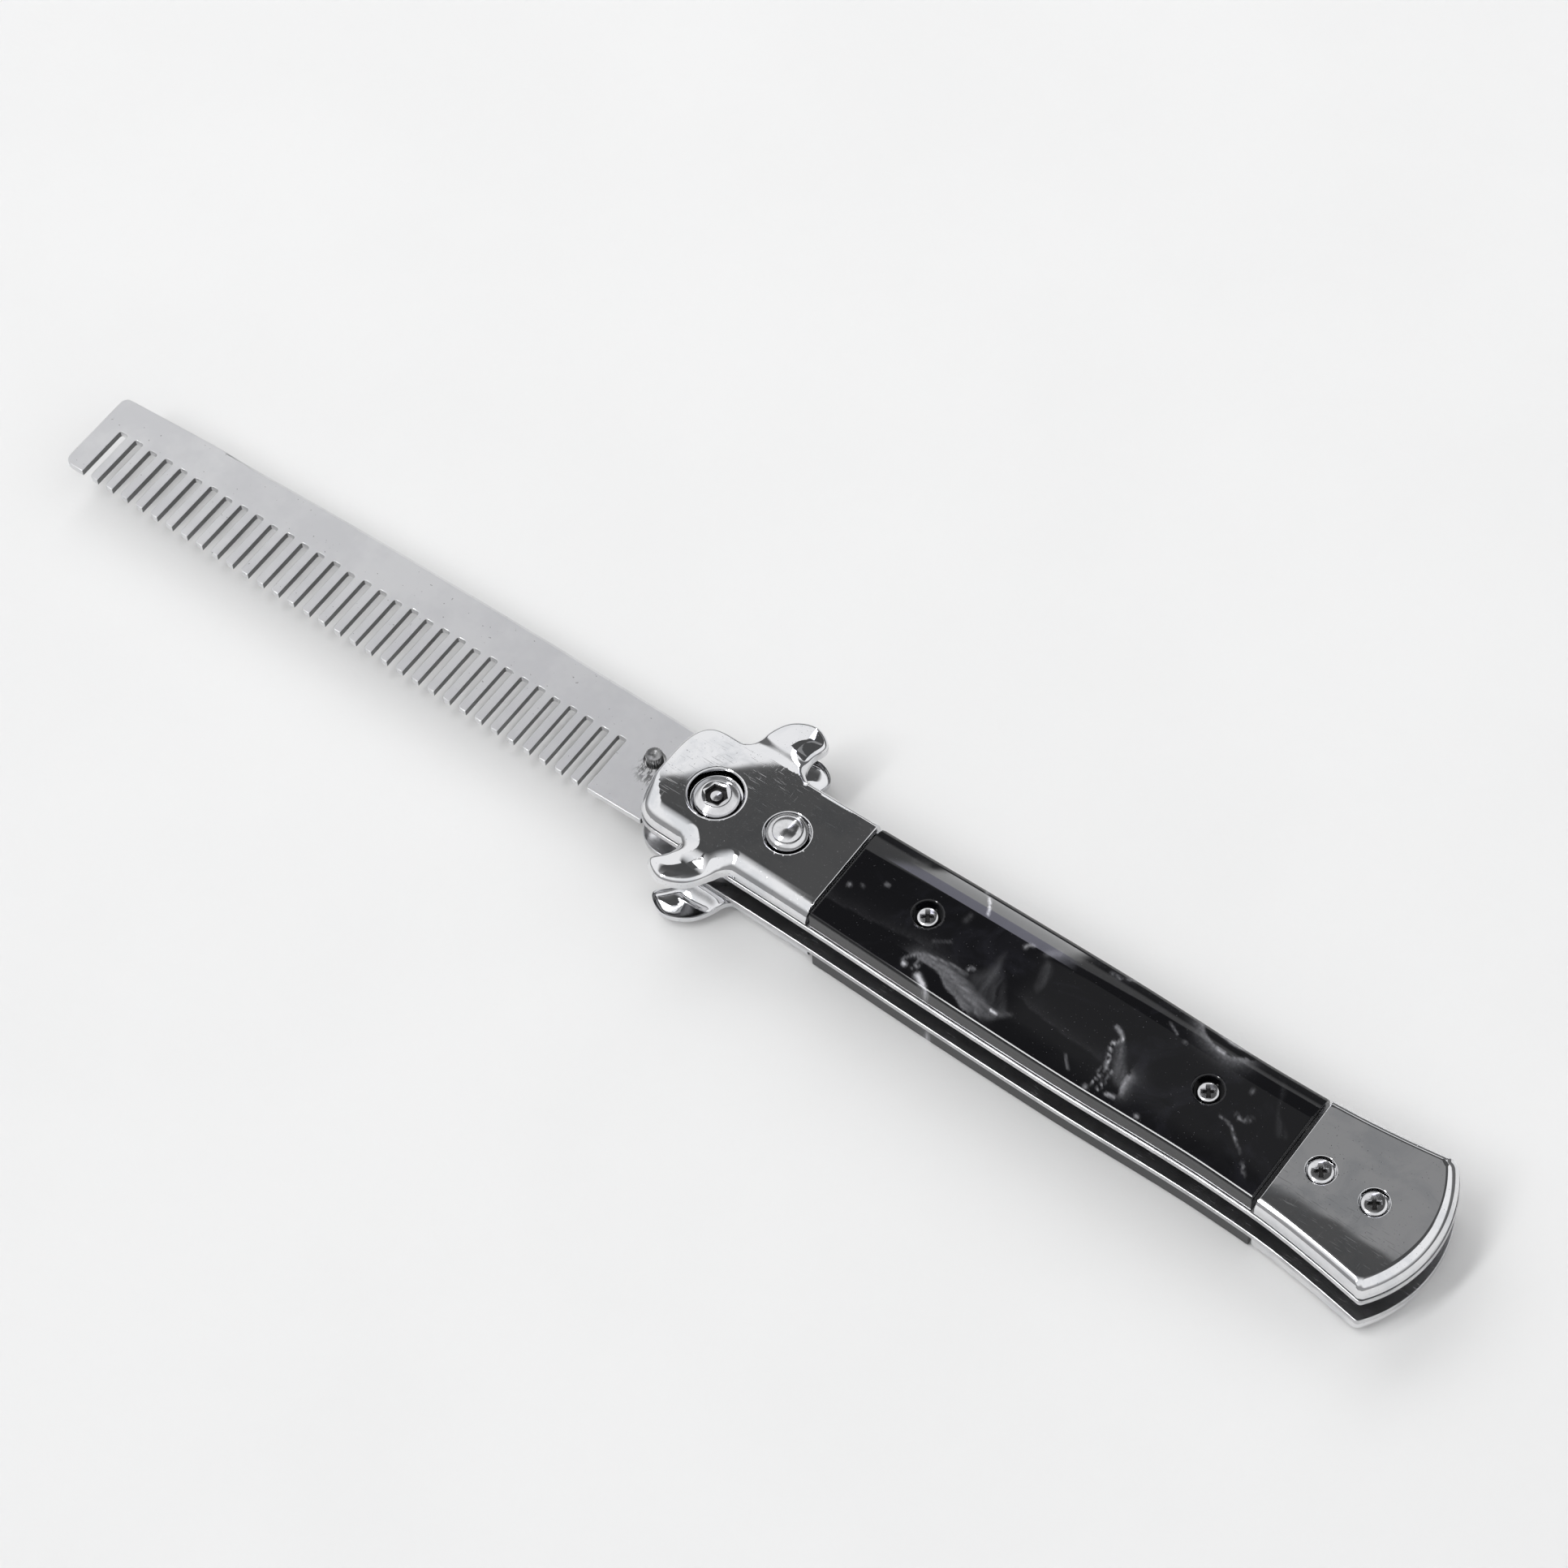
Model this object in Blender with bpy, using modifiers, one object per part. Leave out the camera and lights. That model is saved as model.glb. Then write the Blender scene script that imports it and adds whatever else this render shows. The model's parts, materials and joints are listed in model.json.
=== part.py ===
# Folding comb: a stamped steel comb that swings out of a two-sided handle.
# Metres, +Z up. It lies on its back side, opened out along -X, with its teeth towards -Y.
# Every piece is placed from the pivot axis, and z = 0 of a piece is the handle's middle plane.

import math
from collections import namedtuple

import bmesh
import bpy
import numpy as np
from mathutils import Matrix, Vector

Station = namedtuple("Station", "x lower upper")
Spot = namedtuple("Spot", "x y")

PIVOT = Vector((-0.0015, -0.0012, 0.00715))
GAP = 0.0003

# Levels above the middle plane
SLOT_HALF = 0.00245
LINER_TOP = 0.00345
SHELL_BASE = LINER_TOP + 0.00025
BOLSTER_FACE = 0.0066
SCALE_FACE = 0.00715
DISH_FLOOR = 0.0052

# Edges of the handle along its length, and its butt
HANDLE_EDGES = (
    Station(-0.0036, -0.00835, 0.0093),
    Station(0.021, -0.0085, 0.0095),
    Station(0.042, -0.0090, 0.0099),
    Station(0.062, -0.00925, 0.0101),
    Station(0.088, -0.0091, 0.0099),
    Station(0.097, -0.00955, 0.0102),
    Station(0.105, -0.01055, 0.01095),
    Station(0.1127, -0.0118, 0.0120),
)
BUTT_MIDDLE = Spot(0.1169, 0.0004)
ARCH_DEPTH = 0.0060
ARCH_POWER = 3.0
SHELL_INSET = 0.0002
SCALE_INSET = 0.00035
BOLSTER_END = 0.0212
SCALE_START = 0.0215
SCALE_END = 0.0943
POMMEL_START = 0.0946
BOLSTER_ROUND = 0.0015
POMMEL_ROUND = 0.0013
SCALE_ROUND = 0.0006

# Guard wings, outlines on the front side
WING_LOW = 0.0043
WING_HIGH = 0.0059
WING_ROUND = 0.0008
WING_CURVE_STEPS = 4
UPPER_WING = (
    Spot(-0.0010, 0.0080),
    Spot(-0.0005, 0.0125),
    Spot(0.0013, 0.0158),
    Spot(0.0049, 0.0172),
    Spot(0.0077, 0.0154),
    Spot(0.0070, 0.0120),
    Spot(0.0062, 0.0080),
)
LOWER_WING = (
    Spot(0.0004, -0.0070),
    Spot(-0.0002, -0.0105),
    Spot(-0.0019, -0.0130),
    Spot(0.0007, -0.0148),
    Spot(0.0045, -0.0135),
    Spot(0.0068, -0.0103),
    Spot(0.0070, -0.0070),
)

# Comb plate
COMB_THICK = 0.0012
COMB_TIP = 0.1139
SPINE_ROOT_Y = 0.0092
SPINE_DROP = 0.00245
SPINE_START = 0.012
SPINE_LENGTH = 0.100
SPINE_POWER = 2.6
SPINE_CHAMFER = 0.0005
CHAMFER_LENGTH = 0.098
TOOTH_END_Y = -0.0070
SLOT_COUNT = 33
SLOT_PITCH = 0.00285
FIRST_SLOT = -0.1098
SLOT_WIDTH = 0.00145
SLOT_ROOT_Y = 0.0016
SLOT_ROOT_RISE = 0.00075
SLOT_ROOT_WAVER = 0.00012
TOOTH_ROUND = 0.0005
TIP_ROUND = 0.0012
HEEL_X = -0.0084
HEEL_Y = -0.00685
HEEL_EDGE = 0.0012
TANG_RADIUS = 0.0068
TANG_ARC = (225, 480.5)
SHOULDER_X = -0.0035
SHOULDER_DROP = 0.0002

# Pivot, pins and screws
PIVOT_SHANK = 0.0018
PIVOT_HEAD = 0.0033
PIVOT_CROWN = 0.0065
PIVOT_SHANK_END = -0.0060
HEX_ACROSS = 0.0026
HEX_DEPTH = 0.0011
DISH_RADIUS = 0.0040
DISH_FLOOR_RADIUS = 0.0036
WASHER_RADIUS = 0.0055
PIN_SPOT = Spot(-0.0127, 0.0021)
PIN_RADIUS = 0.00125
PIN_HALF = 0.0021
SCREW_SHANK = 0.0009
SCREW_SHANK_END = 0.0027
SCREW_SEAT = 0.0052
SCALE_SCREW_HEAD = 0.0016
SCALE_SCREW_CROWN = 0.0066
SCALE_SCREWS = (Spot(0.0349, 0.0011), Spot(0.0805, 0.0010))
SCALE_HOLE = 0.0021
POMMEL_SCREW_HEAD = 0.0018
POMMEL_SCREW_CROWN = 0.0065
POMMEL_SCREWS = (Spot(0.0989, -0.0001), Spot(0.1071, 0.0))
CROSS_LENGTH = 0.0019
CROSS_WIDTH = 0.0005
CROSS_DEPTH = 0.0005
CROSS_TURN = math.radians(35)
BUTTON_SPOT = Spot(0.0117, 0.0006)
BUTTON_RADIUS = 0.0030
BUTTON_TOP = 0.0078

# Back spacer between the liners
SPACER_INNER_Y = 0.0075
SPACER_INSET = 0.0004
SPACER_START = -0.0032
SPACER_END = 0.1105

ROUND_SIDES = 24
SMALL_SIDES = 14
MERGE = 0.000005
FLAT_ANGLE = math.radians(0.5)
SMOOTH_ANGLE = math.radians(30)
EMPTY_SIZE = 0.01


def clear_scene():
    for item in list(bpy.data.objects):
        bpy.data.objects.remove(item)


def make_collection(name):
    group = bpy.data.collections.new(name)
    bpy.context.scene.collection.children.link(group)
    return group


def make_empty(name, place):
    empty = bpy.data.objects.new(name, None)
    empty.location = place
    empty.empty_display_size = EMPTY_SIZE
    PARTS.objects.link(empty)
    return empty


def make_material(name, colour, roughness, metallic):
    finish = bpy.data.materials.new(name)
    finish.use_nodes = True
    shader = finish.node_tree.nodes["Principled BSDF"]
    shader.inputs["Base Color"].default_value = (*colour, 1.0)
    shader.inputs["Roughness"].default_value = roughness
    shader.inputs["Metallic"].default_value = metallic
    return finish


def place_mesh(mesh, name, finish, parent, height=0.0):
    piece = bpy.data.objects.new(name, mesh)
    piece.location.z = height
    piece.parent = parent
    mesh.materials.clear()
    mesh.materials.append(finish)
    mesh.shade_smooth()
    mesh.set_sharp_from_angle(angle=SMOOTH_ANGLE)
    PARTS.objects.link(piece)
    return piece


def place_cutter(mesh, name, height=0.0):
    cutter = bpy.data.objects.new(name, mesh)
    cutter.location.z = height
    cutter.parent = HANDLE
    cutter.hide_render = True
    cutter.display_type = "WIRE"
    CUTTERS.objects.link(cutter)
    return cutter


def plate_curve(name, thickness):
    curve = bpy.data.curves.new(name, "CURVE")
    curve.dimensions = "2D"
    curve.fill_mode = "BOTH"
    curve.extrude = thickness / 2
    return curve


# A filled curve becomes a closed mesh: its caps are welded on and its flat faces merged
def mesh_of_curve(curve):
    holder = bpy.data.objects.new(curve.name, curve)
    CUTTERS.objects.link(holder)
    depsgraph = bpy.context.evaluated_depsgraph_get()
    mesh = bpy.data.meshes.new_from_object(holder.evaluated_get(depsgraph))
    bpy.data.objects.remove(holder)
    shape = bmesh.new()
    shape.from_mesh(mesh)
    bmesh.ops.remove_doubles(shape, verts=shape.verts, dist=MERGE)
    bmesh.ops.dissolve_limit(shape, angle_limit=FLAT_ANGLE, verts=shape.verts, edges=shape.edges)
    bmesh.ops.recalc_face_normals(shape, faces=shape.faces)
    shape.to_mesh(mesh)
    shape.free()
    return mesh


def plate_mesh(name, outlines, thickness):
    curve = plate_curve(name, thickness)
    for outline in outlines:
        spline = curve.splines.new("POLY")
        spline.points.add(len(outline) - 1)
        for point, (x, y) in zip(spline.points, outline):
            point.co = (x, y, 0.0, 1.0)
        spline.use_cyclic_u = True
    return mesh_of_curve(curve)


def plate(name, outlines, low, high, finish, parent):
    mesh = plate_mesh(name, outlines, high - low)
    return place_mesh(mesh, name, finish, parent, (low + high) / 2)


def cylinder_mesh(name, radius_low, radius_high, height, sides, spot=Spot(0.0, 0.0)):
    shape = bmesh.new()
    bmesh.ops.create_cone(
        shape, cap_ends=True, segments=sides, radius1=radius_low, radius2=radius_high, depth=height,
        matrix=Matrix.Translation((spot.x, spot.y, 0.0)),
    )
    mesh = bpy.data.meshes.new(name)
    shape.to_mesh(mesh)
    shape.free()
    return mesh


# A profile of (radius, height) points, top to bottom, turned round the Z axis
def turned_piece(name, profile, sides, finish, parent, spot=Spot(0.0, 0.0)):
    mesh = bpy.data.meshes.new(name)
    points = [(radius, 0.0, height) for radius, height in profile]
    mesh.from_pydata(points, [(i, i + 1) for i in range(len(points) - 1)], [])
    piece = place_mesh(mesh, name, finish, parent)
    piece.location.x = spot.x
    piece.location.y = spot.y
    screw = piece.modifiers.new("Turn", "SCREW")
    screw.axis = "Z"
    screw.steps = sides
    screw.render_steps = sides
    screw.use_merge_vertices = True
    screw.merge_threshold = MERGE
    return piece


def cut(piece, cutter):
    tool = piece.modifiers.new(cutter.name, "BOOLEAN")
    tool.operation = "DIFFERENCE"
    tool.object = cutter


def join(piece, other):
    tool = piece.modifiers.new(other.name, "BOOLEAN")
    tool.operation = "UNION"
    tool.object = other


# The corner edges of a plate that the test picks get a bevel
def round_edges(piece, width, segments, picks):
    mesh = piece.data
    weight = mesh.attributes.new("bevel_weight_edge", "FLOAT", "EDGE")
    for edge in mesh.edges:
        ends = [mesh.vertices[i].co for i in edge.vertices]
        if picks(ends[0], ends[1]):
            weight.data[edge.index].value = 1.0
    bevel = piece.modifiers.new("Rounding", "BEVEL")
    bevel.limit_method = "WEIGHT"
    bevel.width = width
    bevel.segments = segments


# The outer face's rim, apart from the ends that meet a neighbour
def on_rim(half, end_planes):
    def picks(a, b):
        if min(a.z, b.z) < half - MERGE:
            return False
        return not any(abs(a.x - plane) < MERGE and abs(b.x - plane) < MERGE for plane in end_planes)
    return picks


# The same piece turned over to the back side of the handle
def back_copy(piece, name):
    depsgraph = bpy.context.evaluated_depsgraph_get()
    mesh = bpy.data.meshes.new_from_object(piece.evaluated_get(depsgraph))
    mesh.name = name
    mesh.transform(Matrix.Scale(-1.0, 4, Vector((0.0, 0.0, 1.0))))
    mesh.flip_normals()
    twin = place_mesh(mesh, name, piece.data.materials[0], piece.parent, -piece.location.z)
    twin.location.x = piece.location.x
    twin.location.y = piece.location.y
    return twin


# Height of a long edge of the handle at x, a smooth curve through the stations
def edge_height(x, side):
    xs = np.array([station.x for station in HANDLE_EDGES])
    ys = np.array([getattr(station, side) for station in HANDLE_EDGES])
    slopes = np.gradient(ys, xs)
    i = int(np.clip(np.searchsorted(xs, x) - 1, 0, len(xs) - 2))
    span = xs[i + 1] - xs[i]
    t = (x - xs[i]) / span
    rise = ys[i + 1] - ys[i]
    start = slopes[i] * span
    finish = slopes[i + 1] * span
    return ys[i] + start * t + (3 * rise - 2 * start - finish) * t**2 + (start + finish - 2 * rise) * t**3


def long_edge(side, x_from, x_to, count):
    return [(x, edge_height(x, side)) for x in np.linspace(x_from, x_to, count)]


def arc_through(first, middle, last, count):
    (ax, ay), (bx, by), (cx, cy) = first, middle, last
    rows = np.array([[bx - ax, by - ay], [cx - ax, cy - ay]])
    sizes = np.array([bx**2 - ax**2 + by**2 - ay**2, cx**2 - ax**2 + cy**2 - ay**2]) / 2
    centre = np.linalg.solve(rows, sizes)
    radius = math.hypot(ax - centre[0], ay - centre[1])
    start = math.atan2(ay - centre[1], ax - centre[0])
    end = math.atan2(cy - centre[1], cx - centre[0])
    return [
        (centre[0] + radius * math.cos(angle), centre[1] + radius * math.sin(angle))
        for angle in np.linspace(start, end, count)
    ]


# The rounded front of the handle, from its upper edge round to its lower edge
def front_arch(count):
    first = HANDLE_EDGES[0]
    middle_y = (first.upper + first.lower) / 2
    half_y = (first.upper - first.lower) / 2
    points = []
    for angle in np.linspace(math.pi / 2, 3 * math.pi / 2, count):
        reach = abs(math.cos(angle)) ** (2 / ARCH_POWER)
        rise = math.copysign(abs(math.sin(angle)) ** (2 / ARCH_POWER), math.sin(angle))
        points.append((first.x - ARCH_DEPTH * reach, middle_y + half_y * rise))
    return points


def butt_arc(count):
    corner = HANDLE_EDGES[-1]
    return arc_through((corner.x, corner.lower), BUTT_MIDDLE, (corner.x, corner.upper), count)


def drop_repeats(points):
    kept = []
    for point in points:
        if not kept or math.dist(point, kept[-1]) > 20 * MERGE:
            kept.append(point)
    if math.dist(kept[0], kept[-1]) < 20 * MERGE:
        kept.pop()
    return kept


def handle_outline():
    corner_x = HANDLE_EDGES[-1].x
    first_x = HANDLE_EDGES[0].x
    return drop_repeats(
        front_arch(19)
        + long_edge("lower", first_x, corner_x, 18)
        + butt_arc(11)
        + long_edge("upper", corner_x, first_x, 18)
    )


def bolster_outline():
    first_x = HANDLE_EDGES[0].x
    return drop_repeats(
        front_arch(19)
        + long_edge("lower", first_x, BOLSTER_END, 5)
        + long_edge("upper", BOLSTER_END, first_x, 5)
    )


def pommel_outline():
    corner_x = HANDLE_EDGES[-1].x
    return drop_repeats(
        long_edge("lower", POMMEL_START, corner_x, 6)
        + butt_arc(9)
        + long_edge("upper", corner_x, POMMEL_START, 6)
    )


def scale_outline():
    return long_edge("lower", SCALE_START, SCALE_END, 11) + long_edge("upper", SCALE_END, SCALE_START, 11)


def spacer_outline():
    inner = [(SPACER_START, SPACER_INNER_Y), (SPACER_END, SPACER_INNER_Y)]
    outer = long_edge("upper", SPACER_END, SPACER_START, 10)
    return inner + [(x, y - SPACER_INSET) for x, y in outer]


# Every side of a counter-clockwise outline moved inwards, apart from the sides on fixed_x
def inset(points, distance, fixed_x=None):
    count = len(points)
    moved = []
    for i, (x, y) in enumerate(points):
        before = Vector(points[i]) - Vector(points[i - 1])
        after = Vector(points[(i + 1) % count]) - Vector(points[i])
        normals = [Vector((-side.y, side.x)).normalized() for side in (before, after)]
        middle = (normals[0] + normals[1]).normalized()
        reach = distance / max(middle.dot(normals[0]), 0.3)
        if fixed_x is not None and abs(x - fixed_x) < MERGE:
            moved.append((x, y + math.copysign(distance, -y)))
        else:
            moved.append((x + middle.x * reach, y + middle.y * reach))
    return moved


def circle(spot, radius, sides):
    return [
        (spot.x + radius * math.cos(angle), spot.y + radius * math.sin(angle))
        for angle in np.linspace(0.0, 2 * math.pi, sides, endpoint=False)
    ]


# A closed smooth curve through a wing's few points
def wing_mesh(name, spots):
    curve = plate_curve(name, WING_HIGH - WING_LOW)
    curve.resolution_u = WING_CURVE_STEPS
    curve.render_resolution_u = 0
    spline = curve.splines.new("BEZIER")
    spline.bezier_points.add(len(spots) - 1)
    for point, spot in zip(spline.bezier_points, spots):
        point.co = (spot.x, spot.y, 0.0)
        point.handle_left_type = "AUTO"
        point.handle_right_type = "AUTO"
    spline.use_cyclic_u = True
    return mesh_of_curve(curve)


def guard_wing(name, spots):
    wing = place_cutter(wing_mesh(name, spots), name, (WING_LOW + WING_HIGH) / 2)
    half = (WING_HIGH - WING_LOW) / 2
    round_edges(wing, WING_ROUND, 3, on_rim(half, ()))
    return wing


def spine_height(x):
    t = max(-x - SPINE_START, 0.0) / SPINE_LENGTH
    return SPINE_ROOT_Y - SPINE_DROP * t**SPINE_POWER


def corner_arc(centre_x, centre_y, radius, start, end, count):
    return [
        (centre_x + radius * math.cos(angle), centre_y + radius * math.sin(angle))
        for angle in np.linspace(math.radians(start), math.radians(end), count)
    ]


# One slot seen from below: into the root and out again, then the rounded corner of the next tooth
def slot_points(index):
    centre = FIRST_SLOT + SLOT_PITCH * index
    left = centre - SLOT_WIDTH / 2
    right = centre + SLOT_WIDTH / 2
    rise = SLOT_ROOT_RISE * index / (SLOT_COUNT - 1)
    root = SLOT_ROOT_Y + rise + SLOT_ROOT_WAVER * math.sin(2.4 * index)
    mouth = corner_arc(right + TOOTH_ROUND, TOOTH_END_Y + TOOTH_ROUND, TOOTH_ROUND, 180, 270, 4)
    return [(left, TOOTH_END_Y), (left, root), (right, root)] + mouth


def comb_outline():
    tip_top = spine_height(-COMB_TIP + TIP_ROUND)
    points = corner_arc(-COMB_TIP + TIP_ROUND, tip_top - TIP_ROUND, TIP_ROUND, 100, 180, 5)
    points += corner_arc(-COMB_TIP + TIP_ROUND, TOOTH_END_Y + TIP_ROUND, TIP_ROUND, 180, 270, 5)
    for index in range(SLOT_COUNT):
        points += slot_points(index)
    points += [(HEEL_X, HEEL_Y), (HEEL_X, HEEL_Y + HEEL_EDGE)]
    points += corner_arc(0.0, 0.0, TANG_RADIUS, *TANG_ARC, 19)
    points += [(SHOULDER_X, spine_height(SHOULDER_X) - SHOULDER_DROP)]
    points += [(x, spine_height(x)) for x in np.linspace(-SPINE_START, -COMB_TIP + 0.004, 12)]
    return points


def build_liners():
    holes = [circle(Spot(0.0, 0.0), PIVOT_SHANK + GAP, SMALL_SIDES)]
    for spot in SCALE_SCREWS + POMMEL_SCREWS:
        holes.append(circle(spot, SCREW_SHANK + GAP, 10))
    front = plate("liner_front", [handle_outline()] + holes, SLOT_HALF, LINER_TOP, LINER_STEEL, HANDLE)
    back_copy(front, "liner_back")


def build_bolster(name, with_button):
    outline = inset(bolster_outline(), SHELL_INSET, BOLSTER_END)
    body = plate(name, [outline], SHELL_BASE, BOLSTER_FACE, POLISHED_STEEL, HANDLE)
    round_edges(body, BOLSTER_ROUND, 4, on_rim((BOLSTER_FACE - SHELL_BASE) / 2, (BOLSTER_END,)))
    join(body, guard_wing(name + "_upper_wing", UPPER_WING))
    join(body, guard_wing(name + "_lower_wing", LOWER_WING))
    dish_height = BOLSTER_FACE + GAP - DISH_FLOOR
    dish = cylinder_mesh(name + "_dish", DISH_FLOOR_RADIUS, DISH_RADIUS, dish_height, ROUND_SIDES)
    cut(body, place_cutter(dish, name + "_dish", DISH_FLOOR + dish_height / 2))
    bore = cylinder_mesh(name + "_bore", PIVOT_SHANK + GAP, PIVOT_SHANK + GAP, 0.01, SMALL_SIDES)
    cut(body, place_cutter(bore, name + "_bore", SHELL_BASE))
    if with_button:
        radius = BUTTON_RADIUS + GAP
        hole = cylinder_mesh(name + "_button_hole", radius, radius, 0.01, ROUND_SIDES, BUTTON_SPOT)
        cut(body, place_cutter(hole, name + "_button_hole", BOLSTER_FACE))
    return body


def build_bolsters():
    build_bolster("bolster_front", True)
    plain = build_bolster("bolster_plain", False)
    back_copy(plain, "bolster_back")
    bpy.data.objects.remove(plain)


# Stepped holes for the screws: a wide one for the head above a narrow one for the shank
def cut_screw_holes(piece, spots, head_radius, seat):
    for number, spot in enumerate(spots, 1):
        name = piece.name + "_hole_" + str(number)
        wide = cylinder_mesh(name + "_head", head_radius, head_radius, 0.006, SMALL_SIDES + 4, spot)
        cut(piece, place_cutter(wide, name + "_head", seat + 0.003))
        radius = SCREW_SHANK + GAP
        narrow = cylinder_mesh(name + "_shank", radius, radius, 0.006, 10, spot)
        cut(piece, place_cutter(narrow, name + "_shank", seat - 0.001))


def build_scales():
    outline = inset(scale_outline(), SCALE_INSET)
    front = plate("scale_front", [outline], SHELL_BASE, SCALE_FACE, BLACK_ACRYLIC, HANDLE)
    round_edges(front, SCALE_ROUND, 2, on_rim((SCALE_FACE - SHELL_BASE) / 2, ()))
    cut_screw_holes(front, SCALE_SCREWS, SCALE_HOLE, SCREW_SEAT)
    back_copy(front, "scale_back")


def build_pommels():
    outline = inset(pommel_outline(), SHELL_INSET, POMMEL_START)
    front = plate("pommel_front", [outline], SHELL_BASE, BOLSTER_FACE, POLISHED_STEEL, HANDLE)
    round_edges(front, POMMEL_ROUND, 3, on_rim((BOLSTER_FACE - SHELL_BASE) / 2, (POMMEL_START,)))
    cut_screw_holes(front, POMMEL_SCREWS, POMMEL_SCREW_HEAD + GAP, SCREW_SEAT)
    back_copy(front, "pommel_back")


def build_spacer():
    half = SLOT_HALF - GAP
    plate("back_spacer", [spacer_outline()], -half, half, INNER_STEEL, HANDLE)


# A domed head on a shank, listed from the crown down
def head_profile(crown, seat, head_radius, shank_radius, shank_end, dome):
    return [
        (0.0, crown),
        (head_radius * 0.62, crown),
        (head_radius * 0.88, crown - dome * 0.4),
        (head_radius, crown - dome),
        (head_radius, seat),
        (shank_radius, seat),
        (shank_radius, shank_end),
        (0.0, shank_end),
    ]


def build_pivot():
    seat = DISH_FLOOR + GAP
    profile = head_profile(PIVOT_CROWN, seat, PIVOT_HEAD, PIVOT_SHANK, PIVOT_SHANK_END, 0.0008)
    screw = turned_piece("pivot_screw", profile, ROUND_SIDES, SCREW_STEEL, HANDLE)
    socket_radius = HEX_ACROSS / math.sqrt(3)
    socket = cylinder_mesh("pivot_socket", socket_radius, socket_radius, 2 * HEX_DEPTH, 6)
    cut(screw, place_cutter(socket, "pivot_socket", PIVOT_CROWN))
    bore = PIVOT_SHANK + GAP
    nut_profile = [
        (0.0, PIVOT_SHANK_END - GAP),
        (bore, PIVOT_SHANK_END - GAP),
        (bore, -seat),
        (PIVOT_HEAD, -seat),
        (PIVOT_HEAD, -PIVOT_CROWN + 0.0006),
        (PIVOT_HEAD * 0.88, -PIVOT_CROWN),
        (0.0, -PIVOT_CROWN - 0.0001),
    ]
    turned_piece("pivot_nut", nut_profile, ROUND_SIDES, SCREW_STEEL, HANDLE)
    inner = COMB_THICK / 2 + GAP
    outer = SLOT_HALF - GAP
    ring = [circle(Spot(0.0, 0.0), WASHER_RADIUS, ROUND_SIDES), circle(Spot(0.0, 0.0), bore, SMALL_SIDES)]
    washer = plate("pivot_washer_front", ring, inner, outer, INNER_STEEL, HANDLE)
    back_copy(washer, "pivot_washer_back")


def cross_mesh(name):
    half = CROSS_WIDTH / 2
    arm = CROSS_LENGTH / 2
    quarter = [(arm, -half), (arm, half), (half, half)]
    outline = []
    for turn in range(4):
        spin = Matrix.Rotation(turn * math.pi / 2, 2)
        outline += [tuple(spin @ Vector(point)) for point in quarter]
    return plate_mesh(name, [outline], 2 * CROSS_DEPTH)


def build_screws(group, spots, crown, head_radius):
    profile = head_profile(crown, SCREW_SEAT + GAP, head_radius, SCREW_SHANK, SCREW_SHANK_END, 0.0003)
    for number, spot in enumerate(spots, 1):
        name = group + "_front_" + str(number)
        front = turned_piece(name, profile, SMALL_SIDES, SCREW_STEEL, HANDLE, spot)
        cross = place_cutter(cross_mesh(name + "_cross"), name + "_cross", crown)
        cross.location.x = spot.x
        cross.location.y = spot.y
        cross.rotation_euler.z = CROSS_TURN
        cut(front, cross)
        back_copy(front, group + "_back_" + str(number))


def build_button():
    profile = [
        (0.0, BUTTON_TOP),
        (BUTTON_RADIUS * 0.6, BUTTON_TOP - 0.0002),
        (BUTTON_RADIUS * 0.9, BUTTON_TOP - 0.0006),
        (BUTTON_RADIUS, BUTTON_TOP - 0.0012),
        (BUTTON_RADIUS, LINER_TOP + GAP),
        (0.0, LINER_TOP + GAP),
    ]
    turned_piece("push_button", profile, ROUND_SIDES, SCREW_STEEL, HANDLE, BUTTON_SPOT)


# The chamfered stretch of the comb's back, on both faces
def on_spine(a, b):
    if abs(a.z - b.z) > MERGE or max(a.x, b.x) > SHOULDER_X or min(a.x, b.x) < -CHAMFER_LENGTH:
        return False
    return min(a.y, b.y) > SPINE_ROOT_Y - SPINE_DROP


def build_comb():
    half = COMB_THICK / 2
    blade = plate("comb_blade", [comb_outline()], -half, half, COMB_STEEL, COMB)
    round_edges(blade, SPINE_CHAMFER, 1, on_spine)
    bore = cylinder_mesh("comb_bore", PIVOT_SHANK + GAP, PIVOT_SHANK + GAP, 0.004, SMALL_SIDES)
    cut(blade, place_cutter(bore, "comb_bore"))
    hole_radius = PIN_RADIUS + GAP
    pin_hole = cylinder_mesh("comb_pin_hole", hole_radius, hole_radius, 0.004, SMALL_SIDES, PIN_SPOT)
    cut(blade, place_cutter(pin_hole, "comb_pin_hole"))
    profile = [(0.0, PIN_HALF), (PIN_RADIUS, PIN_HALF), (PIN_RADIUS, -PIN_HALF), (0.0, -PIN_HALF)]
    turned_piece("comb_pin", profile, SMALL_SIDES, COMB_STEEL, COMB, PIN_SPOT)


clear_scene()
PARTS = make_collection("folding_comb")
CUTTERS = make_collection("cutters")
HANDLE = make_empty("handle_frame", PIVOT)
COMB = make_empty("comb_hinge", PIVOT)
COMB_STEEL = make_material("comb_steel", (0.55, 0.55, 0.56), 0.32, 1.0)
POLISHED_STEEL = make_material("polished_steel", (0.74, 0.74, 0.75), 0.12, 1.0)
LINER_STEEL = make_material("liner_steel", (0.52, 0.52, 0.53), 0.3, 1.0)
INNER_STEEL = make_material("inner_steel", (0.10, 0.10, 0.10), 0.5, 1.0)
SCREW_STEEL = make_material("screw_steel", (0.66, 0.66, 0.67), 0.2, 1.0)
BLACK_ACRYLIC = make_material("black_acrylic", (0.012, 0.012, 0.014), 0.12, 0.0)

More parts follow.
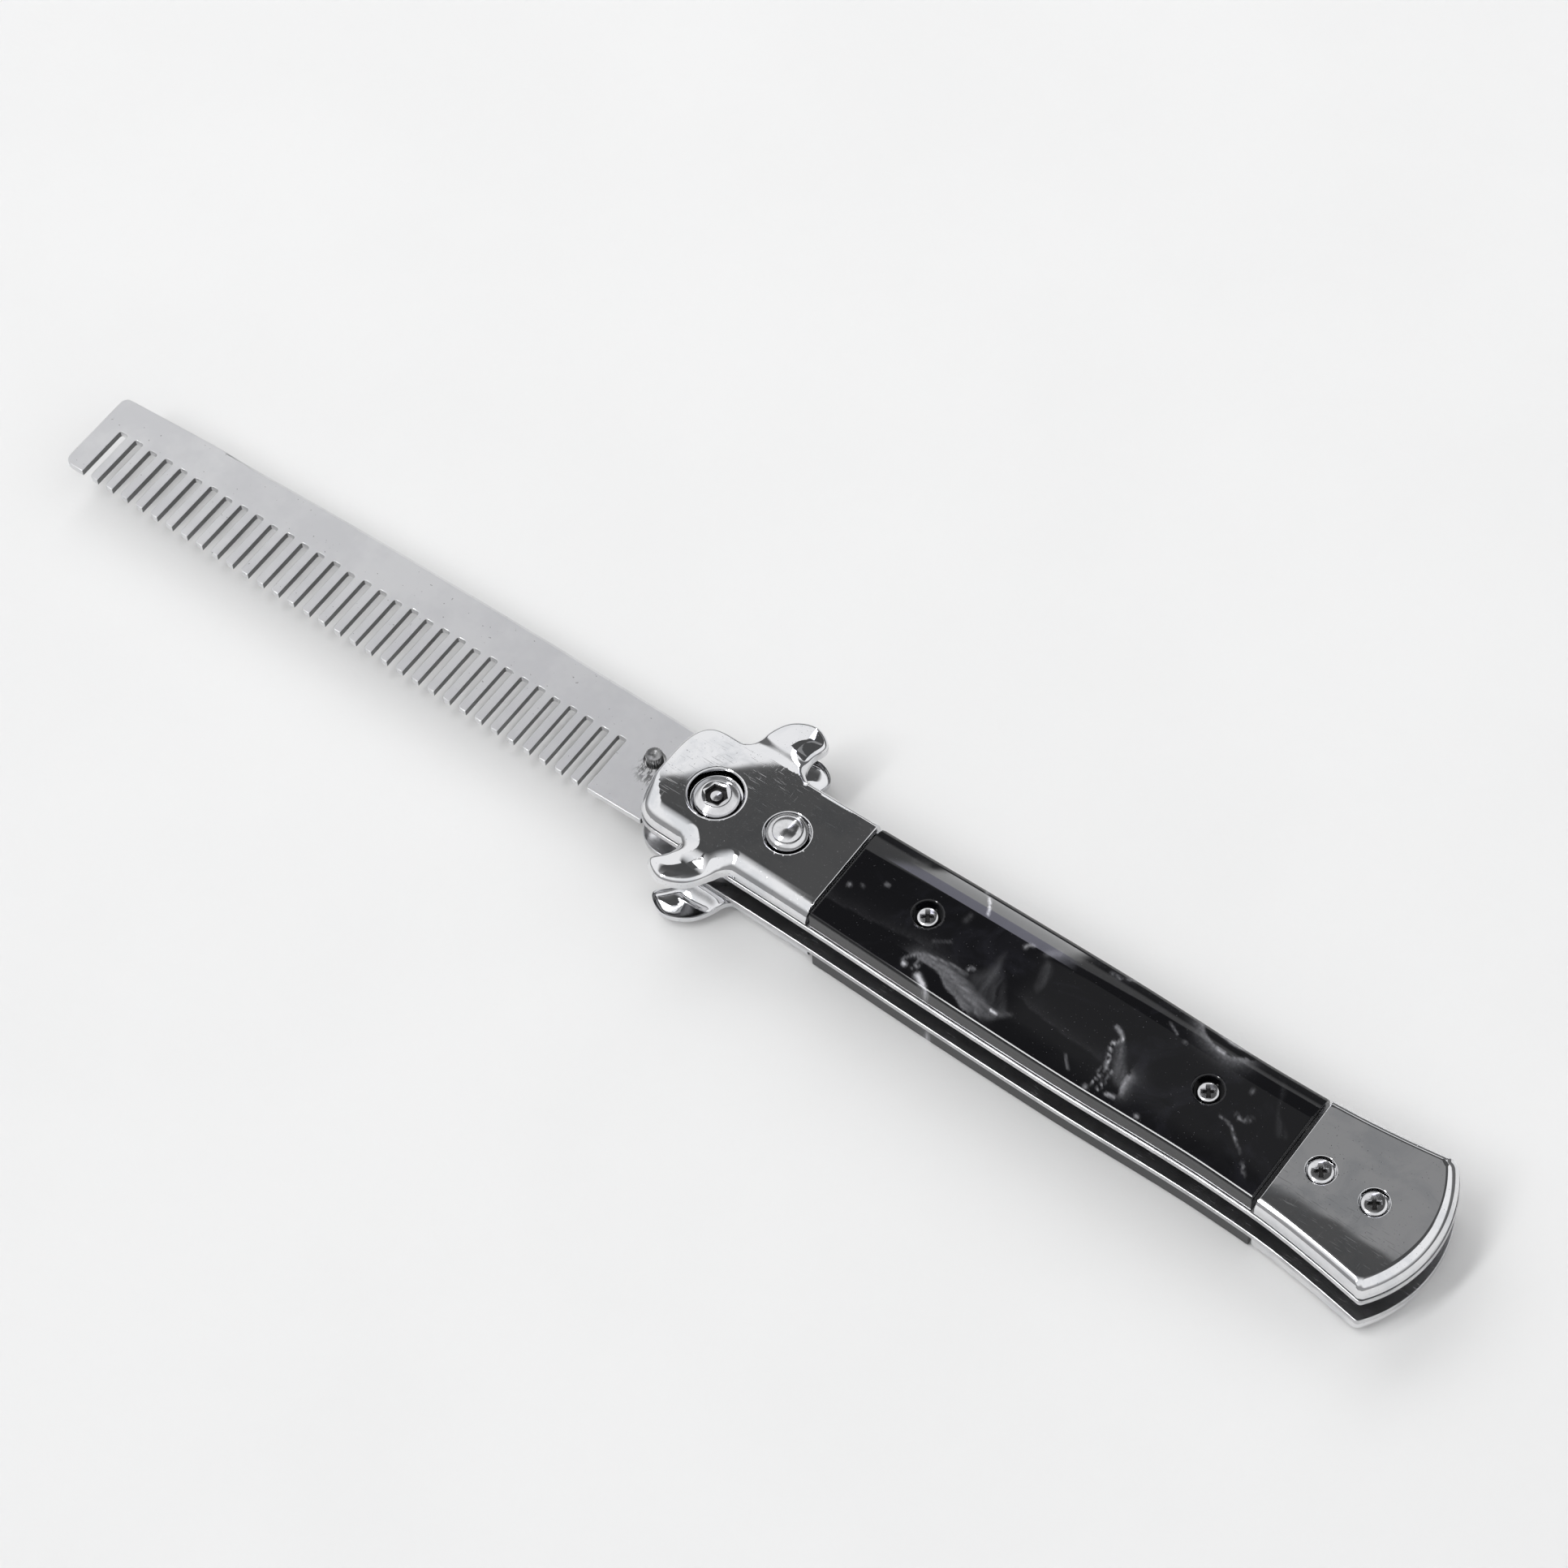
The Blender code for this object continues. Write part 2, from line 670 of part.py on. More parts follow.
build_liners()
build_bolsters()
build_scales()
build_pommels()
build_spacer()
build_pivot()
build_screws("scale_screw", SCALE_SCREWS, SCALE_SCREW_CROWN, SCALE_SCREW_HEAD)
build_screws("pommel_screw", POMMEL_SCREWS, POMMEL_SCREW_CROWN, POMMEL_SCREW_HEAD)
build_button()
build_comb()
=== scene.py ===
import json
import math

import bpy
import numpy as np
from mathutils import Matrix, Vector, noise
from mathutils.geometry import delaunay_2d_cdt


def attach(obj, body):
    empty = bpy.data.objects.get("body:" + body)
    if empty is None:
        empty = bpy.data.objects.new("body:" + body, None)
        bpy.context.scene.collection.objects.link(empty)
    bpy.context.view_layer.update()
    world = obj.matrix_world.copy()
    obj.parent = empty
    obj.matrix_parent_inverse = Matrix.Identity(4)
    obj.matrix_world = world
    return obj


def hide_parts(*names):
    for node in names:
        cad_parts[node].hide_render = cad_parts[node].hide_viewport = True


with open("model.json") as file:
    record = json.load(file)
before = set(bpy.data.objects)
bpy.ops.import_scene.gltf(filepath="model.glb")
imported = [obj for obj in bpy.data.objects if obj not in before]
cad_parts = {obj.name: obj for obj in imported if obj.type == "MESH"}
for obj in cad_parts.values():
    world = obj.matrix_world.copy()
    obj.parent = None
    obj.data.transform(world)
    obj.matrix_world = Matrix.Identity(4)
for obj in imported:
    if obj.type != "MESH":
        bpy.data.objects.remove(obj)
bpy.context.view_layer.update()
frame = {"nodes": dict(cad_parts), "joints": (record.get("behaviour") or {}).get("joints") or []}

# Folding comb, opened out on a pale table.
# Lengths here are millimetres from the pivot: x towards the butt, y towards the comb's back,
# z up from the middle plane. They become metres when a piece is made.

pivotPlace = 1000.0 * np.array(frame["joints"][0]["pos_m"])
print("frame loaded")


# Runs and loops of flat points

def unit(vectors):
    return vectors / np.maximum(np.linalg.norm(vectors, axis=-1, keepdims=True), 1e-9)


def reachAlong(run):
    return np.concatenate([[0.0], np.cumsum(np.hypot(*np.diff(run, axis=0).T))])


def evenly(run, step):      # the same run, with its points about a step apart
    run = np.asarray(run, float)
    reach = reachAlong(run)
    marks = np.linspace(0.0, reach[-1], max(int(round(reach[-1] / step)), 1) + 1)
    return np.column_stack([np.interp(marks, reach, run[:, 0]), np.interp(marks, reach, run[:, 1])])


def splitLong(loop, longest):      # a closed loop with its long stretches cut in equal parts
    parts = []
    for start, end in zip(loop, np.roll(loop, -1, axis=0)):
        count = max(1, math.ceil(np.hypot(*(end - start)) / longest))
        parts.append(start + (end - start) * np.linspace(0.0, 1.0, count, endpoint=False)[:, None])
    return np.vstack(parts)


def through(xs, ys, x):      # a smooth curve through the points (xs, ys), read at x
    slopes = np.gradient(ys, xs, axis=0)
    i = np.clip(np.searchsorted(xs, x) - 1, 0, len(xs) - 2)
    span = xs[i + 1] - xs[i]
    t = (x - xs[i]) / span
    if ys.ndim == 2:
        span = span[:, None]
        t = t[:, None]
    rise = ys[i + 1] - ys[i]
    start = slopes[i] * span
    finish = slopes[i + 1] * span
    return ys[i] + start * t + (3 * rise - 2 * start - finish) * t**2 + (start + finish - 2 * rise) * t**3


def smoothRun(spots, step):
    spots = np.asarray(spots, float)
    reach = reachAlong(spots)
    fine = np.linspace(0.0, reach[-1], 30 * len(spots))
    return evenly(through(reach, spots, fine), step)


def joinRuns(*runs):
    points = np.vstack(runs)
    gaps = np.hypot(*(points - np.roll(points, 1, axis=0)).T)
    return points[gaps > 0.02]


def shifted(run, distance, closed=False):      # moved to its left, which is where the metal is
    if closed:
        ahead = np.roll(run, -1, axis=0) - np.roll(run, 1, axis=0)
    else:
        ahead = np.gradient(run, axis=0)
    ahead = unit(ahead)
    return run + distance * np.column_stack([-ahead[:, 1], ahead[:, 0]])


def eased(value, start, end):      # 0 at start to 1 at end, level at both
    t = np.clip((value - start) / (end - start), 0.0, 1.0)
    return t * t * (3 - 2 * t)


def rounded(depth, width):      # a quarter circle's rise over an edge's width
    t = np.clip(depth / width, 0.0, 1.0)
    return np.sqrt(1 - (1 - t) ** 2)


def arc(centre, radius, start, end, count):
    angles = np.radians(np.linspace(start, end, count))
    return np.asarray(centre) + radius * np.column_stack([np.cos(angles), np.sin(angles)])


def ringHole(centre, radius, count=64):      # clockwise, so that the metal is on its left
    return arc(centre, radius, 360, 360 / count, count)


def softenCorner(loop, corner, reach, steps=8):
    loop = np.roll(loop, -int(np.argmin(np.hypot(*(loop - corner).T))), axis=0)
    tip = loop[0]
    away = np.hypot(*(loop - tip).T)
    ahead = 1 + int(np.argmax(away[1:] > reach))
    behind = len(loop) - 1 - int(np.argmax(away[::-1] > reach))
    first = tip + (loop[behind] - tip) * reach / away[behind]
    last = tip + (loop[ahead] - tip) * reach / away[ahead]
    t = np.linspace(0.0, 1.0, steps)[:, None]
    bend = (1 - t) ** 2 * first + 2 * t * (1 - t) * tip + t**2 * last
    return np.vstack([bend, loop[ahead:behind + 1]])


def distanceTo(points, line):
    best = np.empty(len(points))
    starts = line[:-1]
    steps = np.diff(line, axis=0)
    lengths = np.maximum((steps**2).sum(1), 1e-12)
    batch = 1500      # points at a time, to spare memory
    for first in range(0, len(points), batch):
        part = points[first:first + batch, None, :] - starts[None]
        along = np.clip((part * steps).sum(2) / lengths, 0.0, 1.0)
        gap = part - along[..., None] * steps
        best[first:first + batch] = np.sqrt((gap**2).sum(2).min(1))
    return best


def inside(points, loops):      # within the first loop and outside the others
    crossings = np.zeros(len(points), int)
    x = points[:, 0][:, None]
    y = points[:, 1][:, None]
    for loop in loops:
        after = np.roll(loop, -1, axis=0)
        spans = (loop[:, 1] > y) != (after[:, 1] > y)
        rise = np.where(after[:, 1] == loop[:, 1], 1e-9, after[:, 1] - loop[:, 1])
        meets = loop[:, 0] + (y - loop[:, 1]) * (after[:, 0] - loop[:, 0]) / rise
        crossings += (spans & (x < meets)).sum(1)
    return crossings % 2 == 1


# A measure taken on a grid and read back as a spline, so that it has no creases
def smoothField(measure, low, high, cell):
    xs = np.arange(low[0] - 2 * cell, high[0] + 4 * cell, cell)
    ys = np.arange(low[1] - 2 * cell, high[1] + 4 * cell, cell)
    grid = np.stack(np.meshgrid(xs, ys, indexing="ij"), axis=-1)
    values = measure(grid.reshape(-1, 2)).reshape(len(xs), len(ys))

    def weights(t):
        return ((1 - t) ** 3 / 6, t**3 / 2 - t**2 + 2 / 3, (t + t**2 - t**3) / 2 + 1 / 6, t**3 / 6)

    def read(points):
        place = (points - (xs[0], ys[0])) / cell
        index = np.floor(place).astype(int)
        across = weights(place[:, 0] - index[:, 0])
        along = weights(place[:, 1] - index[:, 1])
        total = np.zeros(len(points))
        for i in range(4):
            for j in range(4):
                total += across[i] * along[j] * values[index[:, 0] + i - 1, index[:, 1] + j - 1]
        return total
    return read


# Shells: corners, faces, and a shading normal at each corner of each face

creaseCosine = 0.77      # a skin is creased where it turns by over 40 degrees


class Shell:
    def __init__(self):
        self.points = []
        self.faces = []
        self.normals = []
        self.count = 0

    def add(self, points, faces, normals):
        self.points.append(points)
        self.faces += (np.asarray(faces) + self.count).tolist()
        self.normals += np.asarray(normals).tolist()
        self.count += len(points)

    def sweep(self, loops):      # a skin over closed loops of equal length
        loops = np.array(loops)
        low = loops[:-1]
        high = loops[1:]
        lowNext = np.roll(low, -1, axis=1)
        highNext = np.roll(high, -1, axis=1)
        flat = unit(np.cross(lowNext + highNext - low - high, high + highNext - low - lowNext))
        rows, count = flat.shape[:2]
        row = np.arange(rows)

        def corner(along, across):
            total = flat.copy()
            for up, side in ((0, along), (across, 0), (across, along)):
                other = np.roll(flat[np.clip(row + up, 0, rows - 1)], -side, axis=1)
                near = (other * flat).sum(-1) > creaseCosine
                near &= ((row + up >= 0) & (row + up < rows))[:, None]
                total += np.where(near[..., None], other, 0.0)
            return unit(total)

        index = np.arange(rows * count).reshape(rows, count)
        beside = np.roll(index, -1, axis=1)
        faces = np.stack([index, beside, beside + count, index + count], axis=-1).reshape(-1, 4)
        normals = np.stack([corner(-1, -1), corner(1, -1), corner(1, 1), corner(-1, 1)], axis=2)
        self.add(loops.reshape(-1, 3), faces, normals.reshape(-1, 4, 3))

    def turnedOver(self):
        twin = Shell()
        twin.points = [points * (1.0, 1.0, -1.0) for points in self.points]
        twin.faces = [face[::-1] for face in self.faces]
        twin.normals = [[(n[0], n[1], -n[2]) for n in corners[::-1]] for corners in self.normals]
        twin.count = self.count
        return twin


def makePiece(name, shell, finish, body, node):
    points = np.round(np.vstack(shell.points), 4)
    places, index = np.unique(points, axis=0, return_inverse=True)
    index = index.ravel()
    faces = []
    normals = []
    for face, corners in zip(shell.faces, shell.normals):
        welded = index[face]
        keep = [k for k in range(len(welded)) if welded[k] != welded[k - 1]]
        if len(keep) > 2 and len(set(welded[keep].tolist())) == len(keep):
            faces.append(welded[keep].tolist())
            normals += [corners[k] for k in keep]
    mesh = bpy.data.meshes.new(name)
    mesh.from_pydata(((places + pivotPlace) / 1000.0).tolist(), [], faces)
    mesh.shade_smooth()
    mesh.normals_split_custom_set(normals)
    piece = bpy.data.objects.new(name, mesh)
    bpy.context.scene.collection.objects.link(piece)
    mesh.materials.append(finish)
    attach(piece, body)
    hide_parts(node)
    return piece


# The front piece and its twin on the back, from two shells
def makeSides(name, shells, finish, node, number=""):
    pieces = []
    for side, shell in zip(("front", "back"), shells):
        sideNode = "_".join(part for part in (node, side, number) if part)
        pieces.append(makePiece(name + side.title() + number, shell, finish, "handle", sideNode))
    return pieces


def bothSides(shell):
    return shell, shell.turnedOver()


def cornersOf(piece):      # its corners in millimetres from the pivot
    return np.array([vertex.co for vertex in piece.data.vertices]) * 1000.0 - pivotPlace


def paint(piece, name, values):      # a value at each corner, for a finish to read
    piece.data.attributes.new(name, "FLOAT", "POINT").data.foreach_set("value", values)


def edgeLine(line, width, drop, chamfer=False):
    return {"line": line, "width": width, "drop": drop, "chamfer": chamfer}


def closedLine(loop):
    return np.vstack([loop, loop[:1]])


def rimLine(loop, width, drop):
    return edgeLine(closedLine(loop), width, drop)


def faceHeight(face, edges):      # the height of a face whose edges are rolled down
    def heightAt(points):
        height = np.full(len(points), float(face))
        for edge in edges:
            rise = rounded(distanceTo(points, edge["line"]), edge["width"])
            height = np.minimum(height, face - edge["drop"] * (1 - rise))
        return height
    return heightAt


plateMesh = {
    # where an edge gets rings of points, as shares of its width
    "rolled": (0.015, 0.05, 0.1, 0.17, 0.25, 0.35, 0.46, 0.6, 0.78, 0.92),
    "fine": (0.15, 0.5, 0.9), "fineWidth": 0.3, "chamfer": (0.3, 0.96),
    "pastEdge": 0.025,      # and a last ring this far beyond it
    "ringClear": 0.93, "gridClear": 0.35,      # how clear of edges points stay, in shares of offset and grid
    "nudge": 0.015, "slopeStep": 0.01,      # slopes are measured this far inside the rim, over this step
}


# A plate between two heights; a plain number as lowAt is the middle that its top is mirrored in
def plateShell(outline, holes, edges, heightAt, lowAt, gridStep=None):
    look = plateMesh
    loops = [outline] + holes
    lines = [closedLine(loop) for loop in loops]
    extra = []
    for edge in edges:
        depths = look["rolled"] if edge["width"] > look["fineWidth"] else look["fine"]
        if edge["chamfer"]:
            depths = look["chamfer"]
        for offset in [depth * edge["width"] for depth in depths] + [edge["width"] + look["pastEdge"]]:
            closed = np.allclose(edge["line"][0], edge["line"][-1])
            ring = shifted(edge["line"][:-1] if closed else edge["line"], offset, closed)
            away = np.min([distanceTo(ring, line) for line in lines], axis=0)
            extra.append(ring[(away > look["ringClear"] * offset) & inside(ring, loops)])
    if gridStep:
        low = outline.min(0)
        high = outline.max(0)
        across = np.meshgrid(np.arange(low[0], high[0], gridStep), np.arange(low[1], high[1], gridStep))
        grid = np.column_stack([part.ravel() for part in across])
        away = np.min([distanceTo(grid, line) for line in lines], axis=0)
        extra.append(grid[(away > look["gridClear"] * gridStep) & inside(grid, loops)])
    points = np.vstack(loops + extra)
    sides = []
    first = 0
    for loop in loops:
        count = len(loop)
        sides += [(first + i, first + (i + 1) % count) for i in range(count)]
        first += count
    flat, _, faces, origins, _, _ = delaunay_2d_cdt([Vector(p) for p in points], sides, [], 0, 1e-5)
    flat = np.array([tuple(p) for p in flat])
    faces = np.array([face for face in faces if len(face) == 3])
    corners = flat[faces]
    first = corners[:, 1] - corners[:, 0]
    second = corners[:, 2] - corners[:, 0]
    area = first[:, 0] * second[:, 1] - first[:, 1] * second[:, 0]
    faces[area < 0] = faces[area < 0][:, ::-1]
    faces = faces[inside(corners.mean(1), loops) & (np.abs(area) > 1e-7)]
    nudge = np.zeros_like(flat)
    place = {}
    for out, sources in enumerate(origins):
        for source in sources:
            place[source] = out
    rims = []
    first = 0
    for loop in loops:
        rim = np.array([place[first + i] for i in range(len(loop))])
        nudge[rim] = shifted(loop, look["nudge"], True) - loop
        rims.append(rim)
        first += len(loop)
    shell = Shell()
    surfaces = []
    for heights, side in ((heightAt, 1.0), (lowAt, -1.0)):
        if callable(heights):
            middle = flat + nudge
            step = look["slopeStep"]
            dx = (heights(middle + (step, 0)) - heights(middle - (step, 0))) / (2 * step)
            dy = (heights(middle + (0, step)) - heights(middle - (0, step))) / (2 * step)
            normals = side * unit(np.column_stack([-dx, -dy, np.ones(len(flat))]))
            solid = np.column_stack([flat, heights(flat)])
        else:
            normals = normals * (1.0, 1.0, -1.0)
            solid = np.column_stack([flat, 2 * heights - solid[:, 2]])
        turned = faces if side > 0 else faces[:, ::-1]
        shell.add(solid, turned, normals[turned])
        surfaces.append(solid)
    shell.rims = [(surfaces[1][rim], surfaces[0][rim]) for rim in rims]
    return shell


def level(height):
    return lambda points: np.full(len(points), float(height))


# Walls of a plate: straight, or round a hole in steps of radius and height from below
def closeWalls(shell, steps=()):
    for number, (low, high) in enumerate(shell.rims):
        loops = [low]
        if number and number <= len(steps) and steps[number - 1]:
            centre = low.mean(0)[:2]
            ray = unit(low[:, :2] - centre)
            for radius, height in steps[number - 1]:
                loops.append(np.column_stack([centre + ray * radius, np.full(len(low), float(height))]))
        shell.sweep(loops + [high])
    return shell


# Node trees

class Signal:      # a value that varies over a surface
    def __init__(self, bench, socket):
        self.bench = bench
        self.socket = socket

    def maths(self, operation, first, second=0.0):
        return self.bench.node("ShaderNodeMath", {"operation": operation}, {0: first, 1: second})

    def __add__(self, other):
        return self.maths("ADD", self, other)

    def __radd__(self, other):
        return self.maths("ADD", other, self)

    def __sub__(self, other):
        return self.maths("SUBTRACT", self, other)

    def __rsub__(self, other):
        return self.maths("SUBTRACT", other, self)

    def __mul__(self, other):
        return self.maths("MULTIPLY", self, other)

    def __rmul__(self, other):
        return self.maths("MULTIPLY", other, self)

    def __truediv__(self, other):
        return self.maths("DIVIDE", self, other)


class Bench:
    def __init__(self, tree):
        self.tree = tree
        tree.nodes.clear()

    def node(self, kind, settings=None, values=None, out=0):
        made = self.tree.nodes.new(kind)
        for key, value in (settings or {}).items():
            setattr(made, key, value)
        for key, value in (values or {}).items():
            if isinstance(value, Signal):
                self.tree.links.new(value.socket, made.inputs[key])
            else:
                made.inputs[key].default_value = value
        return Signal(self, made.outputs[out]) if made.outputs else None

    def vector(self, operation, first, second):
        return self.node("ShaderNodeVectorMath", {"operation": operation}, {0: first, 1: second})

    def soft(self, signal, low, high):      # 0 at low to 1 at high
        values = {0: signal, 1: low, 2: high, 3: 0.0, 4: 1.0}
        return self.node("ShaderNodeMapRange", {"interpolation_type": "SMOOTHSTEP"}, values)

    def between(self, signal, low, high, blur):
        rise = self.soft(signal, low - blur, low + blur)
        return rise * (1 - self.soft(signal, high - blur, high + blur))

    def mixed(self, factor, first, second):
        colours = [(*c, 1.0) if isinstance(c, tuple) else c for c in (first, second)]
        values = {0: factor, 6: colours[0], 7: colours[1]}
        return self.node("ShaderNodeMix", {"data_type": "RGBA"}, values, 2)

    def millimetres(self, stretch=(1.0, 1.0, 1.0)):
        place = self.node("ShaderNodeTexCoord", out="Object")
        scale = tuple(1000.0 * part for part in stretch)
        return self.vector("MULTIPLY", place, scale)

    def grain(self, where, scale, detail=3.0, rough=0.5, twist=0.0):
        values = {"Vector": where, "Scale": scale, "Detail": detail, "Roughness": rough, "Distortion": twist}
        return self.node("ShaderNodeTexNoise", {}, values, "Fac")

    def patches(self, where, grain, low, high):      # a grain cut into soft patches
        return self.soft(self.grain(where, *grain), low, high)


def newFinish(name, metallic, ior=1.5):
    finish = bpy.data.materials.new(name)
    finish["slot"] = name      # the record's material slot
    finish.use_nodes = True
    bench = Bench(finish.node_tree)
    shader = finish.node_tree.nodes.new("ShaderNodeBsdfPrincipled")
    shader.inputs["Metallic"].default_value = metallic
    shader.inputs["IOR"].default_value = ior
    output = finish.node_tree.nodes.new("ShaderNodeOutputMaterial")
    finish.node_tree.links.new(shader.outputs[0], output.inputs[0])

    def wear(colour, roughness, height, strength, depth):
        links = finish.node_tree.links
        links.new(colour.socket, shader.inputs["Base Color"])
        links.new(roughness.socket, shader.inputs["Roughness"])
        bump = bench.node("ShaderNodeBump", {}, {"Strength": strength, "Distance": depth, "Height": height})
        links.new(bump.socket, shader.inputs["Normal"])
    return finish, bench, wear


# Finishes
# A grain is a noise's scale, detail, roughness and twist. Patches are a grain and the range it is cut to.
# A run is how much a pattern is squeezed along x, y and z.

polishedLook = {
    "bright": (0.80, 0.80, 0.81), "smudged": (0.70, 0.71, 0.73), "pitted": (0.30, 0.30, 0.31),
    "roughness": 0.013, "smudge": 0.012, "scratch": 0.03, "pit": 0.25, "scratchDepth": 0.03, "pitDepth": 0.2,
    "smudges": ((0.16, 4.0, 0.6, 0.6), 0.42, 0.66), "pits": ((4.2, 1.0), 0.73, 0.78),
    "scratches": ((0.9, 2.0), 0.63, 0.72), "scratchRun": (0.35, 6.0, 3.0),
    "crossings": ((0.7, 2.0), 0.66, 0.74), "crossingRun": (5.0, 0.5, 3.0),
    "waves": (0.12, 1.0), "bump": 0.5, "depth": 0.000005,
}


def polishedSteel():
    look = polishedLook
    finish, bench, wear = newFinish("polished_steel", 1.0)
    where = bench.millimetres()
    smudge = bench.patches(where, *look["smudges"])
    scratch = bench.patches(bench.millimetres(look["scratchRun"]), *look["scratches"])
    crossing = bench.patches(bench.millimetres(look["crossingRun"]), *look["crossings"])
    pit = bench.patches(where, *look["pits"])
    colour = bench.mixed(smudge, look["bright"], look["smudged"])
    colour = bench.mixed(pit, colour, look["pitted"])
    roughness = look["roughness"] + smudge * look["smudge"]
    roughness = roughness + (scratch + crossing) * look["scratch"] + pit * look["pit"]
    relief = bench.grain(where, *look["waves"]) - (scratch + crossing) * look["scratchDepth"]
    wear(colour, roughness, relief - pit * look["pitDepth"], look["bump"], look["depth"])
    return finish


combLook = {
    "bright": (0.74, 0.74, 0.745), "dull": (0.68, 0.68, 0.69), "pitted": (0.22, 0.215, 0.21),
    "roughness": 0.30, "brush": 0.10, "cloud": 0.05, "pit": 0.2, "scuffAndShadow": 0.2,
    "bump": 0.5, "depth": 0.000012, "pitDepth": 0.4, "scuffDepth": 0.8,
    "clouds": ((0.10, 4.0, 0.6), 0.38, 0.64), "pits": ((1.9, 2.0, 0.5), 0.71, 0.77), "pitShare": 0.8,
    "brushing": (1.6, 3.0, 0.6), "brushRun": (0.25, 5.0, 1.0),
    # painted shade on the slots' cut walls, found by how far they face sideways
    "cut": (0.07, 0.07, 0.072), "wallShadeFrom": (0.6, 0.85), "wallShadeShare": 0.8,
    # painted shadow of the stop pin, in streaks, where the metal is also scuffed: rougher and dented
    "pinShadowPlace": (-11.9, 0.4, 0.0), "pinShadowReach": (1.28, 3.2), "pinShadow": (0.10, 0.10, 0.10),
    "pinShadowShare": 0.85, "scuffAndShadowStreaks": ((1.1, 3.0, 0.6), 0.47, 0.56), "scuffAndShadowRun": (2.4, 0.8, 1.0),
}


def combSteel():
    look = combLook
    finish, bench, wear = newFinish("comb_steel", 1.0)
    where = bench.millimetres()
    cloud = bench.patches(where, *look["clouds"])
    brushed = bench.grain(bench.millimetres(look["brushRun"]), *look["brushing"])
    pit = bench.patches(where, *look["pits"])
    colour = bench.mixed(cloud, look["bright"], look["dull"])
    colour = bench.mixed(pit * look["pitShare"], colour, look["pitted"])
    # painted shadow of the stop pin, streaked, on a spot that is also scuffed rougher and dented
    middle = tuple(look["pinShadowPlace"] + pivotPlace)
    away = bench.node("ShaderNodeVectorMath", {"operation": "DISTANCE"}, {0: where, 1: middle}, "Value")
    near = 1 - bench.soft(away, *look["pinShadowReach"])
    scuffAndShadow = near * bench.patches(bench.millimetres(look["scuffAndShadowRun"]), *look["scuffAndShadowStreaks"])
    colour = bench.mixed(scuffAndShadow * look["pinShadowShare"], colour, look["pinShadow"])
    # painted shade on the slot walls: a near black colour where the surface faces sideways along x
    facing = bench.node("ShaderNodeTexCoord", out="Normal")
    sideways = bench.node("ShaderNodeSeparateXYZ", {}, {0: facing}, 0)
    sideways = bench.node("ShaderNodeMath", {"operation": "ABSOLUTE"}, {0: sideways})
    colour = bench.mixed(bench.soft(sideways, *look["wallShadeFrom"]) * look["wallShadeShare"], colour, look["cut"])
    roughness = look["roughness"] + (brushed - 0.5) * look["brush"] + cloud * look["cloud"]
    roughness = roughness + pit * look["pit"] + scuffAndShadow * look["scuffAndShadow"]
    relief = brushed - pit * look["pitDepth"] - scuffAndShadow * look["scuffDepth"]
    wear(colour, roughness, relief, look["bump"], look["depth"])
    return finish


# Painted shade: where a piece marks its recesses, its colour goes near black there and it gets rougher.
brushedLook = {
    "clouds": ((0.35, 4.0, 0.6), 0.35, 0.68), "brushing": (2.0, 3.0, 0.6), "pits": ((3.1, 2.0), 0.70, 0.77),
    "pitted": (0.08, 0.075, 0.07), "pitShare": 0.6, "paintedShadeColour": (0.02, 0.019, 0.018), "paintedShadeShare": 0.96,
    "brush": 0.14, "cloud": 0.06, "paintedShade": 0.3, "pitDepth": 0.3, "bump": 0.5,
}
# Each one's bright and dull colour, roughness, stretch of its brush marks, and their depth in metres
brushedMetals = {
    "liner_steel": ((0.66, 0.66, 0.67), (0.50, 0.50, 0.51), 0.2, (0.3, 4.0, 4.0), 0.00001),
    "inner_steel": ((0.085, 0.083, 0.082), (0.045, 0.043, 0.042), 0.42, (0.5, 3.0, 3.0), 0.00002),
    "screw_steel": ((0.74, 0.74, 0.75), (0.60, 0.60, 0.61), 0.11, (1.0, 1.0, 3.0), 0.000004),
    "knurled_steel": ((0.42, 0.42, 0.42), (0.13, 0.13, 0.13), 0.30, (1.0, 1.0, 0.4), 0.00006),
}


def brushedSteel(name):
    look = brushedLook
    bright, dull, base, stretch, depth = brushedMetals[name]
    finish, bench, wear = newFinish(name, 1.0)
    where = bench.millimetres()
    cloud = bench.patches(where, *look["clouds"])
    brushed = bench.grain(bench.millimetres(stretch), *look["brushing"])
    pit = bench.patches(where, *look["pits"])
    # painted shade in the recesses that a piece marks, read from its corners
    paintedShade = bench.node("ShaderNodeAttribute", {"attribute_name": "paintedShade"}, out="Fac")
    colour = bench.mixed(cloud, bright, dull)
    colour = bench.mixed(pit * look["pitShare"], colour, look["pitted"])
    colour = bench.mixed(paintedShade * look["paintedShadeShare"], colour, look["paintedShadeColour"])
    roughness = base + (brushed - 0.5) * look["brush"] + cloud * look["cloud"] + paintedShade * look["paintedShade"]
    wear(colour, roughness, brushed - pit * look["pitDepth"], look["bump"], depth)
    return finish


acrylicLook = {
    "black": (0.0045, 0.0045, 0.0055), "haze": (0.016, 0.016, 0.021), "pearl": (0.55, 0.55, 0.58),
    "dusty": (0.4, 0.4, 0.42), "hazeShare": 0.6, "dustShare": 0.25, "pearlShare": (0.55, 0.9),
    "roughness": 0.022, "smudge": 0.02, "dust": 0.3, "dustHeight": 0.2, "ior": 1.49,
    "hazes": ((0.11, 5.0, 0.62, 1.2), 0.50, 0.74), "smudges": ((0.3, 4.0, 0.6), 0.45, 0.7),
    "dusts": ((5.0, 1.0), 0.765, 0.80), "fibres": (2.6, 4.0, 0.65, 0.8),
    "waves": (0.14, 1.0), "bump": 0.5, "depth": 0.000008,
}


